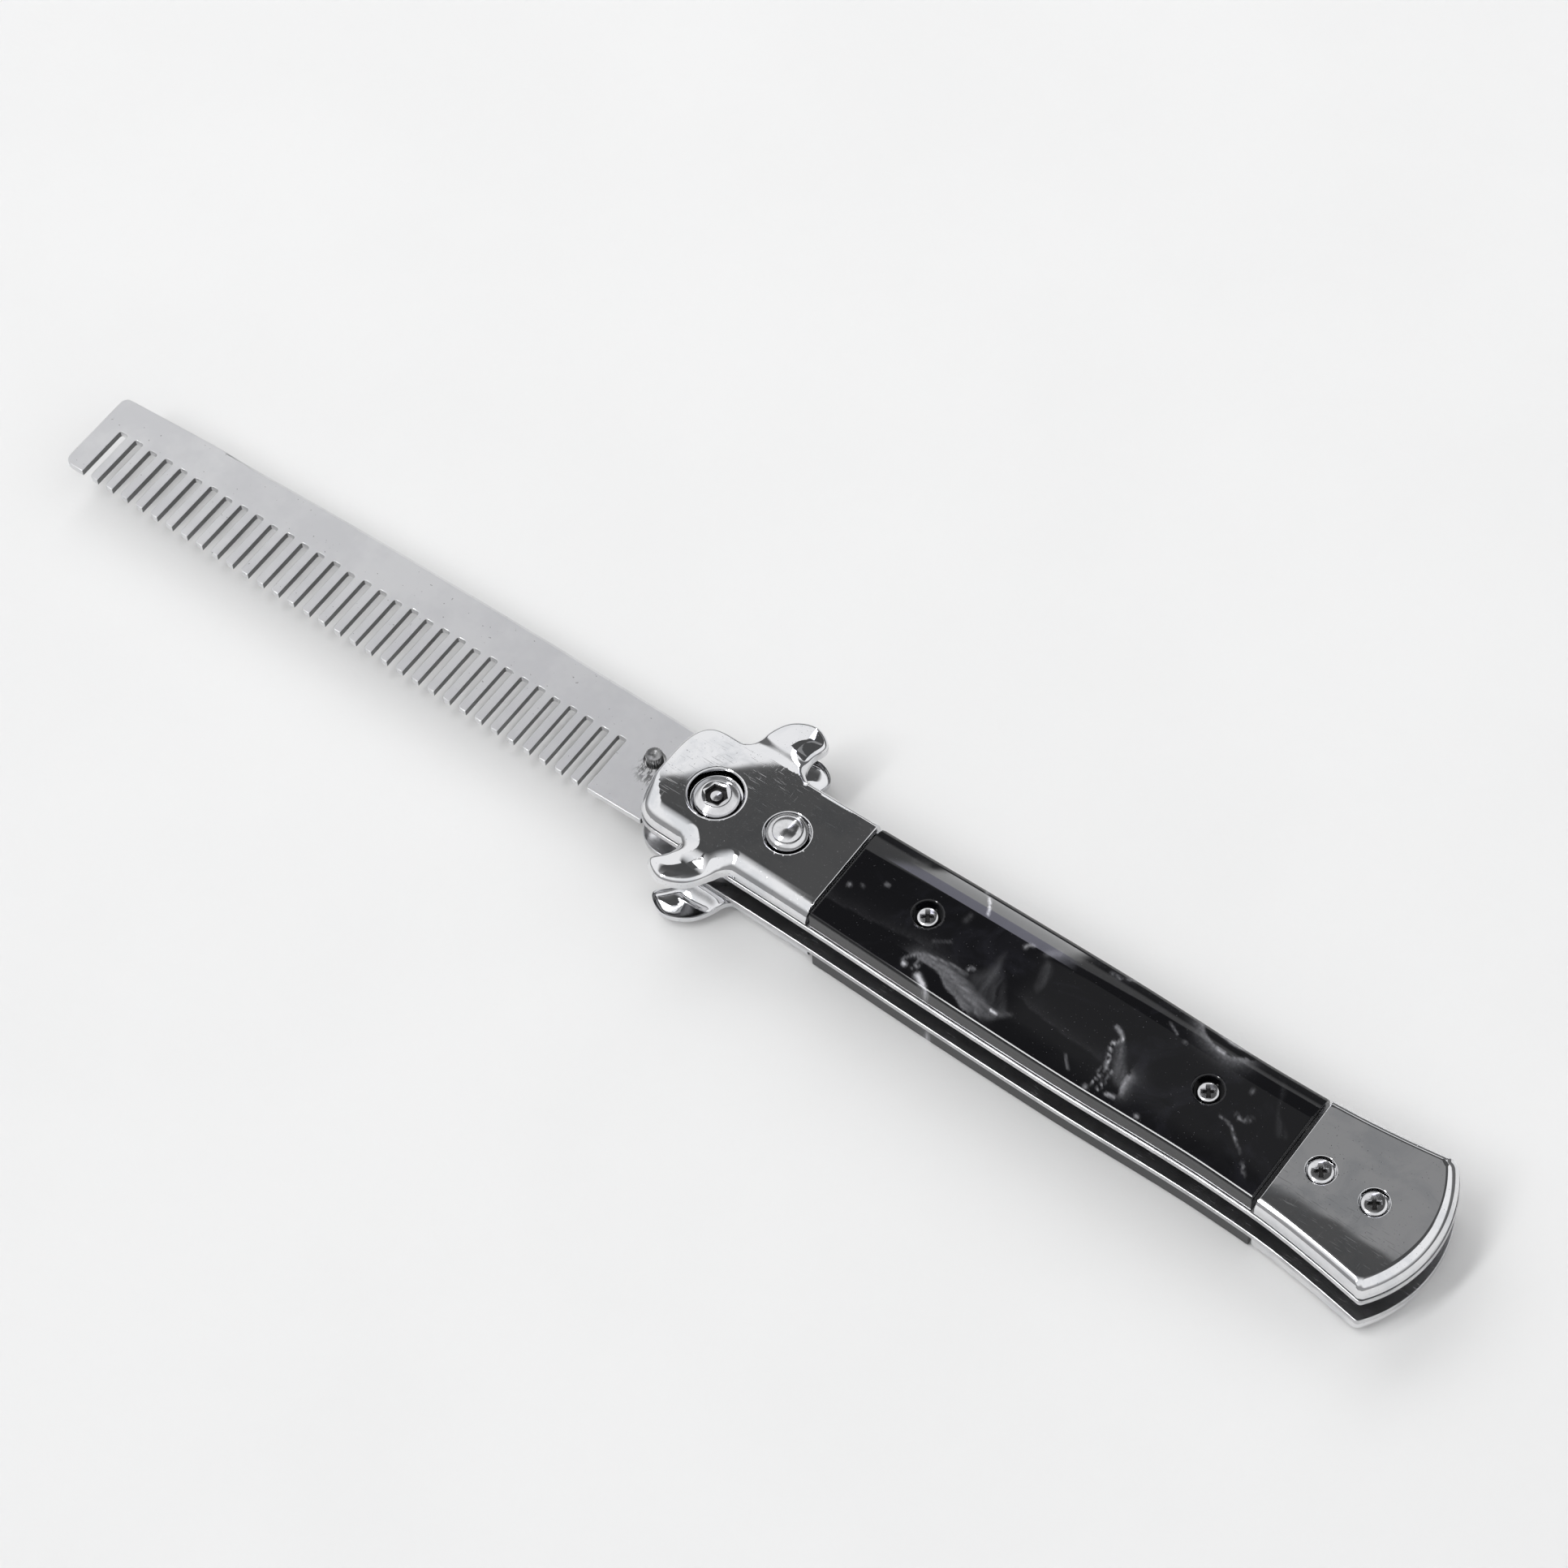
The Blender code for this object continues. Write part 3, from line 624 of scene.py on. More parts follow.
def blackAcrylic():
    look = acrylicLook
    finish, bench, wear = newFinish("black_acrylic", 0.0, look["ior"])
    where = bench.millimetres()
    haze = bench.patches(where, *look["hazes"])
    smudge = bench.patches(where, *look["smudges"])
    dust = bench.patches(where, *look["dusts"])
    pearl = bench.node("ShaderNodeAttribute", {"attribute_name": "pearl"}, out="Fac")
    fibre = bench.grain(where, *look["fibres"])
    low, more = look["pearlShare"]
    smoke = bench.node("ShaderNodeClamp", {}, {0: pearl * (low + fibre * more)})
    colour = bench.mixed(haze * look["hazeShare"], look["black"], look["haze"])
    colour = bench.mixed(smoke, colour, look["pearl"])
    colour = bench.mixed(dust * look["dustShare"], colour, look["dusty"])
    roughness = look["roughness"] + smudge * look["smudge"] + dust * look["dust"]
    relief = bench.grain(where, *look["waves"]) + dust * look["dustHeight"]
    wear(colour, roughness, relief, look["bump"], look["depth"])
    return finish


steel = polishedSteel()
combMetal = combSteel()
linerMetal = brushedSteel("liner_steel")
innerMetal = brushedSteel("inner_steel")
screwMetal = brushedSteel("screw_steel")
pinMetal = brushedSteel("knurled_steel")
pinMetal["slot"] = "comb_steel"      # the record's slot for the comb's pin
acrylic = blackAcrylic()
print("finishes made")


# Handle edges, shared by its plates

handleShape = {
    "stations": (      # along the handle, lower edge, upper edge
        (-3.6, -8.35, 9.3), (21.0, -8.5, 9.5), (42.0, -9.0, 9.9), (62.0, -9.25, 10.1),
        (88.0, -9.1, 9.9), (97.0, -9.55, 10.2), (105.0, -10.55, 10.95), (112.7, -11.8, 12.0),
    ),
    "butt": (116.9, 0.4), "archDepth": 6.0, "archPower": 3.0,
    "shellBase": 3.7, "linerTop": 3.45, "slotHalf": 2.45, "step": 0.4,
}
archX, archLower, archUpper = handleShape["stations"][0]
buttX, buttLower, buttUpper = handleShape["stations"][-1]


def edgeHeight(x, side):      # side 1 is the lower edge, and 2 the upper one
    stations = np.array(handleShape["stations"])
    return through(stations[:, 0], stations[:, side], np.asarray(x, float))


def edgeRun(side, start, end, inset):
    xs = np.linspace(start, end, max(int(abs(end - start) / handleShape["step"]), 1) + 1)
    return shifted(np.column_stack([xs, edgeHeight(xs, side)]), inset)


def archRun(inset):
    angles = np.linspace(math.pi / 2, 3 * math.pi / 2, 181)
    power = 2 / handleShape["archPower"]
    reach = np.abs(np.cos(angles)) ** power
    rise = np.sign(np.sin(angles)) * np.abs(np.sin(angles)) ** power
    middle = (archUpper + archLower) / 2
    half = (archUpper - archLower) / 2
    run = np.column_stack([archX - handleShape["archDepth"] * reach, middle + half * rise])
    return shifted(evenly(run, handleShape["step"]), inset)


def buttSpots():      # on the circle through the butt's two corners and its middle
    rows = []
    sums = []
    for x, y in (handleShape["butt"], (buttX, buttUpper)):
        rows.append((x - buttX, y - buttLower))
        sums.append((x**2 - buttX**2 + y**2 - buttLower**2) / 2)
    centre = np.linalg.solve(np.array(rows), np.array(sums))
    radius = math.hypot(buttX - centre[0], buttLower - centre[1])
    angles = [math.atan2(y - centre[1], buttX - centre[0]) for y in (buttLower, buttUpper)]
    return arc(centre, radius, *np.degrees(angles), 13)[1:-1]


def buttRun(inset):
    spots = np.vstack([(buttX, buttLower), buttSpots(), (buttX, buttUpper)])
    return shifted(smoothRun(spots, handleShape["step"]), inset)


# Bolsters with their guard wings

bolsterShape = {
    "end": 21.2, "endEdge": (0.2, 0.16), "face": 6.6, "inset": 0.2,
    # the roll is wide below and narrow round the arch and the top, and widens between these heights
    "rollDrop": 2.2, "rollWidth": 3.2, "rollNarrow": 0.9, "widens": (-1.5, -6.0),
    "wingRim": 4.9, "wingRoll": 0.7, "wingRollWidth": 0.7, "wingDome": 0.4, "wingDomeWidth": 3.6,
    "wingSkin": 0.8, "blend": 3.0, "cell": 0.4, "grid": 0.4,
    "upperWing": ((9.0, None), (7.6, 10.3), (7.15, 12.2), (7.7, 15.4), (4.9, 17.2), (1.3, 15.8),
                  (-0.45, 12.6), (-0.8, 10.8), (-1.15, 9.75), (-2.0, None)),
    "lowerWing": ((-0.6, None), (0.1, -9.0), (-0.1, -10.4), (-1.9, -13.0), (0.7, -14.8), (4.5, -13.5),
                  (6.8, -10.3), (7.4, -9.0), (8.2, None)),
    "dish": 4.0, "dishFloor": 5.2, "dishFloorRadius": 3.55, "dishEdge": (0.3, 0.22), "bore": 2.1,
    "buttonPlace": (11.7, 0.6), "buttonHole": 3.3, "buttonEdge": (0.2, 0.15),
}


def wingRun(spots, side):
    inset = bolsterShape["inset"] * (1 if side == 1 else -1)
    known = [(x, float(edgeHeight(x, side)) + inset if y is None else y) for x, y in spots]
    return smoothRun(known, 0.3)


def bolsterShell(withButton):
    look = bolsterShape
    inset = look["inset"]
    end = look["end"]
    upper = look["upperWing"]
    lower = look["lowerWing"]
    body = joinRuns(edgeRun(2, end, archX, inset), archRun(inset), edgeRun(1, archX, end, inset))
    rolledLine = joinRuns(
        edgeRun(2, end, upper[0][0], inset), wingRun(upper, 2), edgeRun(2, upper[-1][0], archX, inset),
        archRun(inset),
        edgeRun(1, archX, lower[0][0], inset), wingRun(lower, 1), edgeRun(1, lower[-1][0], end, inset),
    )
    endLine = evenly([rolledLine[-1], rolledLine[0]], handleShape["step"])
    outline = joinRuns(rolledLine, endLine)
    bodyLine = closedLine(body)
    dish = ringHole((0.0, 0.0), look["dish"], 96)
    holes = [dish]
    bore = look["bore"]
    floor = look["dishFloor"]
    reach = look["dishFloorRadius"]
    steps = [[(bore, handleShape["shellBase"]), (bore, floor), (reach, floor), (reach + 0.12, floor + 0.05),
              (look["dish"] - 0.05, look["face"] - 0.6)]]
    edges = [rimLine(dish, *look["dishEdge"])]
    if withButton:
        hole = ringHole(look["buttonPlace"], look["buttonHole"], 72)
        holes.append(hole)
        steps.append([])
        edges.append(rimLine(hole, *look["buttonEdge"]))
    edges.append(edgeLine(endLine, *look["endEdge"]))
    fineHeight = faceHeight(look["face"], edges)

    pastEnd = np.array((3.0, 0.0))
    rolledOn = np.vstack([rolledLine[0] + pastEnd, rolledLine, rolledLine[-1] + pastEnd])

    def measureBody(points):
        return np.where(inside(points, [body]), 0.0, distanceTo(points, bodyLine))

    def measureDepth(points):
        return distanceTo(points, rolledOn) * np.where(inside(points, [rolledOn]), 1.0, -1.0)

    fieldBox = (outline.min(0), outline.max(0), look["cell"])
    bodyAway = smoothField(measureBody, *fieldBox)
    rolledDepth = smoothField(measureDepth, *fieldBox)

    def outside(points):      # 0 on the body to 1 well out on a wing
        return eased(bodyAway(points), 0.0, look["blend"])

    def heightAt(points):
        share = outside(points)
        depth = rolledDepth(points)
        rim = (1 - share) * (look["face"] - look["rollDrop"]) + share * look["wingRim"]
        roll = (1 - share) * look["rollDrop"] + share * look["wingRoll"]
        wide = eased(points[:, 1], *look["widens"])
        wide = look["rollNarrow"] + (look["rollWidth"] - look["rollNarrow"]) * wide
        width = (1 - share) * wide + share * look["wingRollWidth"]
        dome = share * look["wingDome"] * rounded(depth, look["wingDomeWidth"])
        return np.minimum(rim + roll * rounded(depth, width) + dome, fineHeight(points))

    def lowAt(points):
        share = outside(points)
        return (1 - share) * handleShape["shellBase"] + share * (heightAt(points) - look["wingSkin"])

    rolls = [edgeLine(rolledLine, look[name], 0.0) for name in ("rollWidth", "rollNarrow")] + edges
    shell = plateShell(outline, holes, rolls, heightAt, lowAt, look["grid"])
    return closeWalls(shell, steps)


makeSides("bolster", (bolsterShell(True), bolsterShell(False).turnedOver()), steel, "bolster")
print("bolsters made")


# Acrylic scales

scaleShape = {
    "start": 21.85, "end": 93.95, "face": 7.15, "inset": 0.35,
    "lowerRoll": 0.5, "lowerDrop": 0.45, "upperRoll": 4.8, "upperDrop": 2.0,
    "endRoll": 0.18, "holeEdge": (0.28, 0.224),
    "screws": ((34.9, 1.1), (80.5, 1.0)), "hole": 2.1, "seat": 5.2, "bore": 1.2, "grid": 0.3,
    "wallTop": 6.4,      # from here the smoke fades down the walls
}

# Smoky sheets in the acrylic: strength, blur of the rim, number of streaks and the point that they fan out
# from, then the outline
pearlSheets = (
    (0.11, 0.9, 26.0, (33.0, -5.0), (36.4, -6.3), (37.3, -4.9), (39.2, -4.0), (41.6, -3.7), (44.6, -3.5),
     (46.3, -4.2), (49.4, -5.0), (53.4, -4.9), (51.9, -7.0), (49.4, -8.1), (47.2, -8.1), (43.9, -6.6),
     (41.4, -5.5), (38.4, -5.3)),
    (0.07, 1.9, 9.0, (46.9, 6.0), (44.2, -3.4), (45.7, -0.8), (46.9, 3.0), (48.2, 0.6), (50.0, -1.5),
     (52.0, -3.6), (53.8, -5.0), (50.0, -6.4), (46.5, -5.4)),
    (0.12, 1.0, 14.0, (66.0, 5.0), (66.8, 1.1), (67.7, 0.7), (69.3, -1.5), (71.0, -3.7), (71.3, -5.7),
     (70.4, -6.2), (68.4, -4.4), (67.2, -2.4), (66.6, -0.4)),
    (0.035, 0.8, 8.0, (51.5, 9.0), (51.8, 4.8), (52.8, 5.0), (54.3, 0.4), (54.0, -0.7), (53.2, -0.4),
     (52.2, 2.0)),
    (0.03, 0.9, 20.0, (86.0, 13.0), (87.0, 8.6), (88.2, 8.2), (90.2, 4.0), (93.0, 0.4), (92.2, 0.0),
     (89.0, 4.2)),
)
# Its folds and threads: width, strength, how far the left side fades or 0, share in beads, then the run
pearlFolds = (
    (0.18, 0.22, 0, 0.25, (36.3, -6.3), (37.2, -4.8), (39.2, -3.9), (41.6, -3.6), (44.6, -3.4)),
    (0.2, 0.14, 0.5, 0.25, (38.0, -4.6), (41.2, -4.4), (43.2, -4.9), (45.6, -5.6)),
    (0.14, 0.24, 0.7, 0.25, (37.5, -5.1), (41.4, -5.3), (43.6, -6.4), (47.4, -8.0)),
    (0.25, 0.16, 0.6, 0.25, (45.8, -6.3), (48.2, -6.9), (49.0, -7.4)),
    (0.16, 1.3, 0, 0.25, (50.4, -6.0), (51.3, -6.1)),
    (0.25, 0.3, 0, 0.25, (44.3, -2.6), (44.7, -2.1), (45.0, -2.1)),
    (0.26, 1.2, 0, 0.25, (36.8, -6.7), (37.0, -6.8)),
    (0.28, 0.35, 0, 0.9, (38.0, -5.2), (38.2, -6.6)),
    (0.36, 1.1, 0, 0.25, (39.3, -7.3), (40.6, -8.0)),
    (0.22, 0.9, 0, 0.25, (40.6, -8.0), (42.2, -9.0), (44.8, -10.4)),
    (0.17, 1.2, 0, 0.25, (40.0, 8.4), (40.7, 7.4)),
    (0.17, 1.2, 0, 0.25, (41.0, 7.0), (41.7, 6.0)),
    (0.35, 0.35, 0, 0.25, (38.8, 9.4), (39.2, 8.9)),
    (0.22, 0.45, 0, 0.25, (48.6, 4.5), (48.8, 5.1), (49.4, 5.4)),
    (0.5, 0.14, 0, 0.25, (51.6, 5.4), (52.8, 6.4)),
    (0.2, 0.45, 0, 0.25, (65.3, 1.6), (66.9, 0.9), (67.2, 0.5)),
    (0.26, 0.5, 0, 1.0, (67.0, 0.6), (66.6, -0.6), (67.0, -2.6), (67.6, -4.0)),
    (0.34, 0.3, 0, 1.2, (67.6, -4.0), (67.5, -7.0)),
    (0.26, 0.3, 0, 1.2, (68.6, -4.2), (68.7, -7.4)),
    (0.2, 0.5, 0.5, 0.25, (70.8, -3.6), (71.2, -5.9)),
    (0.18, 0.6, 0, 0.25, (70.0, -7.5), (71.1, -7.2)),
    (0.3, 0.4, 0, 0.25, (67.0, -8.0), (67.1, -8.2)),
    (0.26, 0.5, 0, 0.25, (75.0, -7.8), (75.1, -7.9)),
    (0.16, 0.3, 0.7, 0.25, (82.1, 7.8), (80.4, 6.6), (78.4, 6.7), (75.3, 8.0), (74.0, 9.2)),
    (0.22, 0.6, 0, 0.25, (78.0, 6.9), (79.2, 6.7)),
    (0.28, 0.7, 0, 0.25, (76.2, 9.6), (78.4, 9.1), (81.8, 9.3)),
    (0.3, 0.25, 0, 0.8, (60.2, 8.0), (61.4, 8.2)),
    (0.4, 0.25, 0, 0.8, (62.2, 8.9), (63.2, 9.6)),
    (0.14, 0.25, 0, 0.25, (62.3, -5.5), (63.7, -7.1)),
    (0.16, 0.3, 0, 0.8, (84.0, -1.3), (85.4, -1.6), (87.6, -3.1), (89.2, -4.2)),
    (0.24, 0.25, 0, 1.0, (90.2, -5.3), (91.4, -6.8)),
    (0.3, 0.2, 0, 1.0, (85.6, 0.1), (86.6, -0.2), (87.4, 0.6)),
    (0.24, 0.2, 0, 0.25, (85.4, 4.2), (85.5, 3.8)),
    (0.14, 0.2, 0, 0.25, (71.0, 6.1), (72.4, 5.5)),
    (0.22, 0.2, 0, 0.25, (73.9, 5.1), (74.1, 5.1)),
    (0.22, 0.3, 0, 0.25, (27.6, 1.7), (27.9, 1.7)),
    (0.18, 0.35, 0, 0.25, (23.3, -1.3), (23.5, -1.3)),
    (0.2, 0.12, 0, 0.25, (24.9, -0.6), (25.1, -0.6)),
    (0.2, 0.08, 0, 0.25, (38.0, -2.0), (40.0, -0.6)),
    (0.35, 0.06, 0, 0.25, (39.8, 4.4), (39.7, 3.2)),
    (0.12, 0.02, 1.2, 0.25, (21.5, -4.6), (29.5, -4.0), (38.0, -2.9)),
    (0.12, 0.02, 1.0, 0.25, (53.4, -2.4), (60.0, -3.2), (72.0, -4.0)),
)
pearlNoise = {"bend": 0.45, "bent": 0.35, "beads": 2.2, "streakReach": 0.12}


def besideRun(points, run):      # the distance from a short run, below 0 on its right
    best = np.full(len(points), 1e3)
    for start, finish in zip(run[:-1], run[1:]):
        step = finish - start
        part = points - start
        along = np.clip(part @ step / (step @ step), 0.0, 1.0)
        gap = part - along[:, None] * step
        away = np.hypot(*gap.T) * np.where(step[0] * gap[:, 1] - step[1] * gap[:, 0] < 0, -1.0, 1.0)
        best = np.where(np.abs(away) < np.abs(best), away, best)
    return best


def pearlAt(points):
    look = pearlNoise
    bent = points.copy()
    grains = np.empty(len(points))
    for i, (x, y) in enumerate(points.tolist()):
        slow = [noise.noise(Vector((x * look["bend"], y * look["bend"], z))) for z in (3.0, 8.5)]
        bent[i] += (slow[0] * look["bent"], slow[1] * look["bent"])
        grains[i] = noise.noise(Vector((x * look["beads"], y * look["beads"], 5.0)))
    total = np.zeros(len(points))
    for strength, blur, streaks, root, *outline in pearlSheets:
        loop = closedLine(smoothRun(closedLine(np.array(outline)), 0.25))
        within = inside(bent, [loop])
        depth = np.where(within, eased(distanceTo(bent, loop), 0.0, blur), 0.0)
        away = bent - root
        turn = np.arctan2(away[:, 1], away[:, 0]) * streaks
        far = look["streakReach"] * np.hypot(*away.T)
        streak = np.zeros(len(points))
        for i in np.flatnonzero(within):
            streak[i] = noise.fractal(Vector((turn[i], far[i], 1.0)), 0.8, 2.0, 3)
        total += strength * depth * np.clip(0.75 + 0.9 * streak, 0.1, 1.6)
    for width, strength, fade, beads, *run in pearlFolds:
        away = besideRun(bent, smoothRun(run, 0.4) if len(run) > 2 else np.array(run))
        across = np.exp(-(away / width) ** 2)
        if fade:
            across = np.where(away > 0, np.exp(-np.abs(away) / fade), across)
        broken = 1 - beads + beads * np.clip(0.5 + 2.2 * grains, 0.0, 1.6)
        total += strength * across * np.maximum(broken, 0.0)
    return np.clip(total, 0.0, 1.2)


def screwSeats(look):      # holes for a plate's screws, and the steps up their walls
    holes = [ringHole(place, look["hole"], 48) for place in look["screws"]]
    bore = look["bore"]
    seat = look["seat"]
    return holes, [[(bore, handleShape["shellBase"]), (bore, seat), (look["hole"], seat)]] * len(holes)


def scaleShell():
    look = scaleShape
    upperLine = edgeRun(2, look["end"], look["start"], look["inset"])
    lowerLine = edgeRun(1, look["start"], look["end"], look["inset"])
    firstEnd = evenly([upperLine[-1], lowerLine[0]], handleShape["step"])
    lastEnd = evenly([lowerLine[-1], upperLine[0]], handleShape["step"])
    outline = joinRuns(upperLine, firstEnd, lowerLine, lastEnd)
    holes, steps = screwSeats(look)
    edges = [
        edgeLine(upperLine, look["upperRoll"], look["upperDrop"]),
        edgeLine(lowerLine, look["lowerRoll"], look["lowerDrop"]),
    ]
    edges += [edgeLine(line, look["endRoll"], look["endRoll"]) for line in (firstEnd, lastEnd)]
    edges += [rimLine(hole, *look["holeEdge"]) for hole in holes]
    low = level(handleShape["shellBase"])
    shell = plateShell(outline, holes, edges, faceHeight(look["face"], edges), low, look["grid"])
    return closeWalls(shell, steps)


for piece in makeSides("scale", bothSides(scaleShell()), acrylic, "scale"):
    corners = cornersOf(piece)
    bottom = handleShape["shellBase"]
    rise = (np.abs(corners[:, 2]) - bottom) / (scaleShape["wallTop"] - bottom)
    paint(piece, "pearl", pearlAt(corners[:, :2]) * np.clip(rise, 0.1, 1.0))
print("scales made")


# Butt cap halves

pommelShape = {
    "start": 94.6, "face": 6.6, "inset": 0.2,
    "sideRoll": 1.35, "sideDrop": 1.5, "buttRoll": 2.0, "buttDrop": 1.9, "startRoll": 0.16,
    "screws": ((98.9, -0.1), (107.1, 0.0)), "hole": 2.1, "seat": 5.2, "bore": 1.2,
    "holeEdge": (0.12, 0.1), "lowerTip": 0.8, "upperTip": 1.3, "buttFrom": 0.6,
}


def pommelShell():
    look = pommelShape
    lowerLine = edgeRun(1, look["start"], buttX, look["inset"])
    upperLine = edgeRun(2, buttX, look["start"], look["inset"])
    outline = joinRuns(lowerLine[:-1], buttRun(look["inset"]), upperLine[1:])
    outline = softenCorner(outline, lowerLine[-1], look["lowerTip"])
    outline = softenCorner(outline, upperLine[0], look["upperTip"])
    first = int(np.argmin(np.hypot(*(outline - lowerLine[0]).T)))
    outline = np.roll(outline, -first, axis=0)
    startLine = evenly([outline[-1], outline[0]], handleShape["step"])
    isButt = outline[:, 0] > buttX - look["buttFrom"]
    first = int(np.argmax(isButt))
    last = len(outline) - 1 - int(np.argmax(isButt[::-1]))
    edges = [
        edgeLine(outline[:first + 1], look["sideRoll"], look["sideDrop"]),
        edgeLine(outline[first:last + 1], look["buttRoll"], look["buttDrop"]),
        edgeLine(outline[last:], look["sideRoll"], look["sideDrop"]),
        edgeLine(startLine, look["startRoll"], look["startRoll"]),
    ]
    holes, steps = screwSeats(look)
    edges += [rimLine(hole, *look["holeEdge"]) for hole in holes]
    outline = joinRuns(outline, startLine)
    low = level(handleShape["shellBase"])
    return closeWalls(plateShell(outline, holes, edges, faceHeight(look["face"], edges), low), steps)


makeSides("pommel", bothSides(pommelShell()), steel, "pommel")
print("butt cap made")


# Liners and the spacer between them

linerShape = {"chamfer": 0.14, "pivotHole": 2.1, "screwHole": 1.2, "tip": 0.5}
spacerShape = {"start": -3.2, "end": 110.5, "innerY": 7.5, "inset": 0.4, "half": 2.15, "chamfer": 0.12}


def linerShell():
    look = linerShape
    outline = joinRuns(
        archRun(0.0), edgeRun(1, archX, buttX, 0.0), buttRun(0.0), edgeRun(2, buttX, archX, 0.0),
    )
    for tip in (buttLower, buttUpper):
        outline = softenCorner(outline, (buttX, tip), look["tip"])
    screws = scaleShape["screws"] + pommelShape["screws"]
    holes = [ringHole((0.0, 0.0), look["pivotHole"], 32)]
    holes += [ringHole(place, look["screwHole"], 24) for place in screws]
    edges = [rimLine(outline, look["chamfer"], look["chamfer"])]
    middle = (handleShape["linerTop"] + handleShape["slotHalf"]) / 2
    return closeWalls(plateShell(outline, holes, edges, faceHeight(handleShape["linerTop"], edges), middle))


def spacerShell():
    look = spacerShape
    upperLine = edgeRun(2, look["end"], look["start"], look["inset"])
    innerLine = evenly([(look["start"], look["innerY"]), (look["end"], look["innerY"])], 1.0)
    outline = joinRuns(upperLine, innerLine)
    edges = [rimLine(outline, look["chamfer"], look["chamfer"])]
    return closeWalls(plateShell(outline, [], edges, faceHeight(look["half"], edges), 0.0))


makeSides("liner", bothSides(linerShell()), linerMetal, "liner")
makePiece("backSpacer", spacerShell(), innerMetal, "handle", "back_spacer")
print("liners made")


# Comb plate and its stop pin

combShape = {
    "half": 0.6, "tip": -113.9,
    "spineRoot": 9.2, "spineDrop": 2.45, "spineStart": 12.0, "spineLength": 100.0, "spinePower": 2.6,
    "chamfer": 0.5, "chamferEnd": -98.0, "chamferFade": 8.0, "edge": 0.1,
    "toothEnd": -7.0, "slots": 33, "firstSlot": -109.8, "pitch": 2.85, "slotWidth": 1.45,
    "rootY": 1.6, "rootRise": 0.75, "rootWaver": 0.12,
    "rootRound": 0.35, "toothRound": 0.5, "toothSmallRound": 0.15, "tipRound": 1.2, "longest": 0.7,
    "heel": (-8.4, -6.85), "heelEdge": 1.2, "heelRound": 0.4, "tang": 6.8, "tangArc": (225, 480.5),
    "shoulder": -3.5, "shoulderDrop": 0.2, "shoulderRound": 1.2,
    "bore": 2.1, "pinPlace": (-12.7, 2.1), "pinHole": 1.55,
}


def spineHeight(x):
    look = combShape
    t = np.maximum(-x - look["spineStart"], 0.0) / look["spineLength"]
    return look["spineRoot"] - look["spineDrop"] * t ** look["spinePower"]


def slotRun(number):
    look = combShape
    centre = look["firstSlot"] + look["pitch"] * number
    left = centre - look["slotWidth"] / 2
    right = centre + look["slotWidth"] / 2
    root = look["rootY"] + look["rootRise"] * number / (look["slots"] - 1)
    root += look["rootWaver"] * math.sin(2.4 * number)
    bend = look["rootRound"]
    small = look["toothSmallRound"]
    wide = look["toothRound"]
    low = look["toothEnd"]
    return np.vstack([
        arc((left - small, low + small), small, 270, 360, 4),
        arc((left + bend, root - bend), bend, 180, 90, 5),
        arc((right - bend, root - bend), bend, 90, 0, 5),
        arc((right + wide, low + wide), wide, 180, 270, 6),
    ])


def combShell():
    look = combShape
    bend = look["tipRound"]
    tipX = look["tip"] + bend
    spineXs = np.linspace(-look["spineStart"] + 3.0, tipX + 1.0, 160)
    spine = np.column_stack([spineXs, spineHeight(spineXs)])
    shoulder = np.array((look["shoulder"], spineHeight(look["shoulder"]) - look["shoulderDrop"]))
    heel = np.array(look["heel"])
    outline = joinRuns(
        arc((tipX, spineHeight(tipX) - bend), bend, 95, 180, 9),
        arc((tipX, look["toothEnd"] + bend), bend, 180, 270, 9),
        *[slotRun(number) for number in range(look["slots"])],
        evenly([heel, heel + (0.0, look["heelEdge"])], 0.3),
        arc((0.0, 0.0), look["tang"], *look["tangArc"], 90), [shoulder], spine,
    )
    outline = softenCorner(outline, shoulder, look["shoulderRound"])
    outline = splitLong(softenCorner(outline, heel, look["heelRound"]), look["longest"])
    onSpine = (spineXs > look["chamferEnd"]) & (spineXs < look["shoulder"] - 1.2)
    holes = [ringHole((0.0, 0.0), look["bore"], 40), ringHole(look["pinPlace"], look["pinHole"], 32)]
    edges = [rimLine(line, look["edge"], look["edge"]) for line in [outline] + holes]
    edgesHeight = faceHeight(look["half"], edges)

    def heightAt(points):      # the spine's chamfer runs out towards the tip
        x = points[:, 0]
        reach = look["chamfer"] * eased(x, look["chamferEnd"], look["chamferEnd"] + look["chamferFade"])
        cut = np.maximum(reach - (spineHeight(x) - points[:, 1]), 0.0)
        return np.minimum(edgesHeight(points), look["half"] - cut)

    rings = edges + [edgeLine(spine[onSpine], look["chamfer"], 0.0, True)]
    return closeWalls(plateShell(outline, holes, rings, heightAt, 0.0))


makePiece("combPlate", combShell(), combMetal, "comb", "comb_blade")
print("comb made")


# Turned pieces: loops round a centre, each at a radius, or a radius that changes with the angle

def turnedShell(centre, profile, angles):
    shell = Shell()
    loops = []
    for radius, height in profile:
        reach = radius(angles) if callable(radius) else np.full(len(angles), float(radius))
        x = centre[0] + reach * np.cos(angles)
        y = centre[1] + reach * np.sin(angles)
        loops.append(np.column_stack([x, y, np.full(len(angles), float(height))]))
    shell.sweep(loops)
    return shell


def roundAngles(count):
    return np.linspace(0.0, 2 * math.pi, count, endpoint=False)


def hexRadius(across, turn):
    def radius(angles):
        inSector = (angles - turn) % (math.pi / 3) - math.pi / 6
        return across / 2 / np.cos(inSector)
    return radius


def crossRadius(arm, half, turn):
    def radius(angles):
        c = np.maximum(np.abs(np.cos(angles - turn)), 1e-6)
        s = np.maximum(np.abs(np.sin(angles - turn)), 1e-6)
        return np.maximum(np.minimum(arm / c, half / s), np.minimum(half / c, arm / s))
    return radius


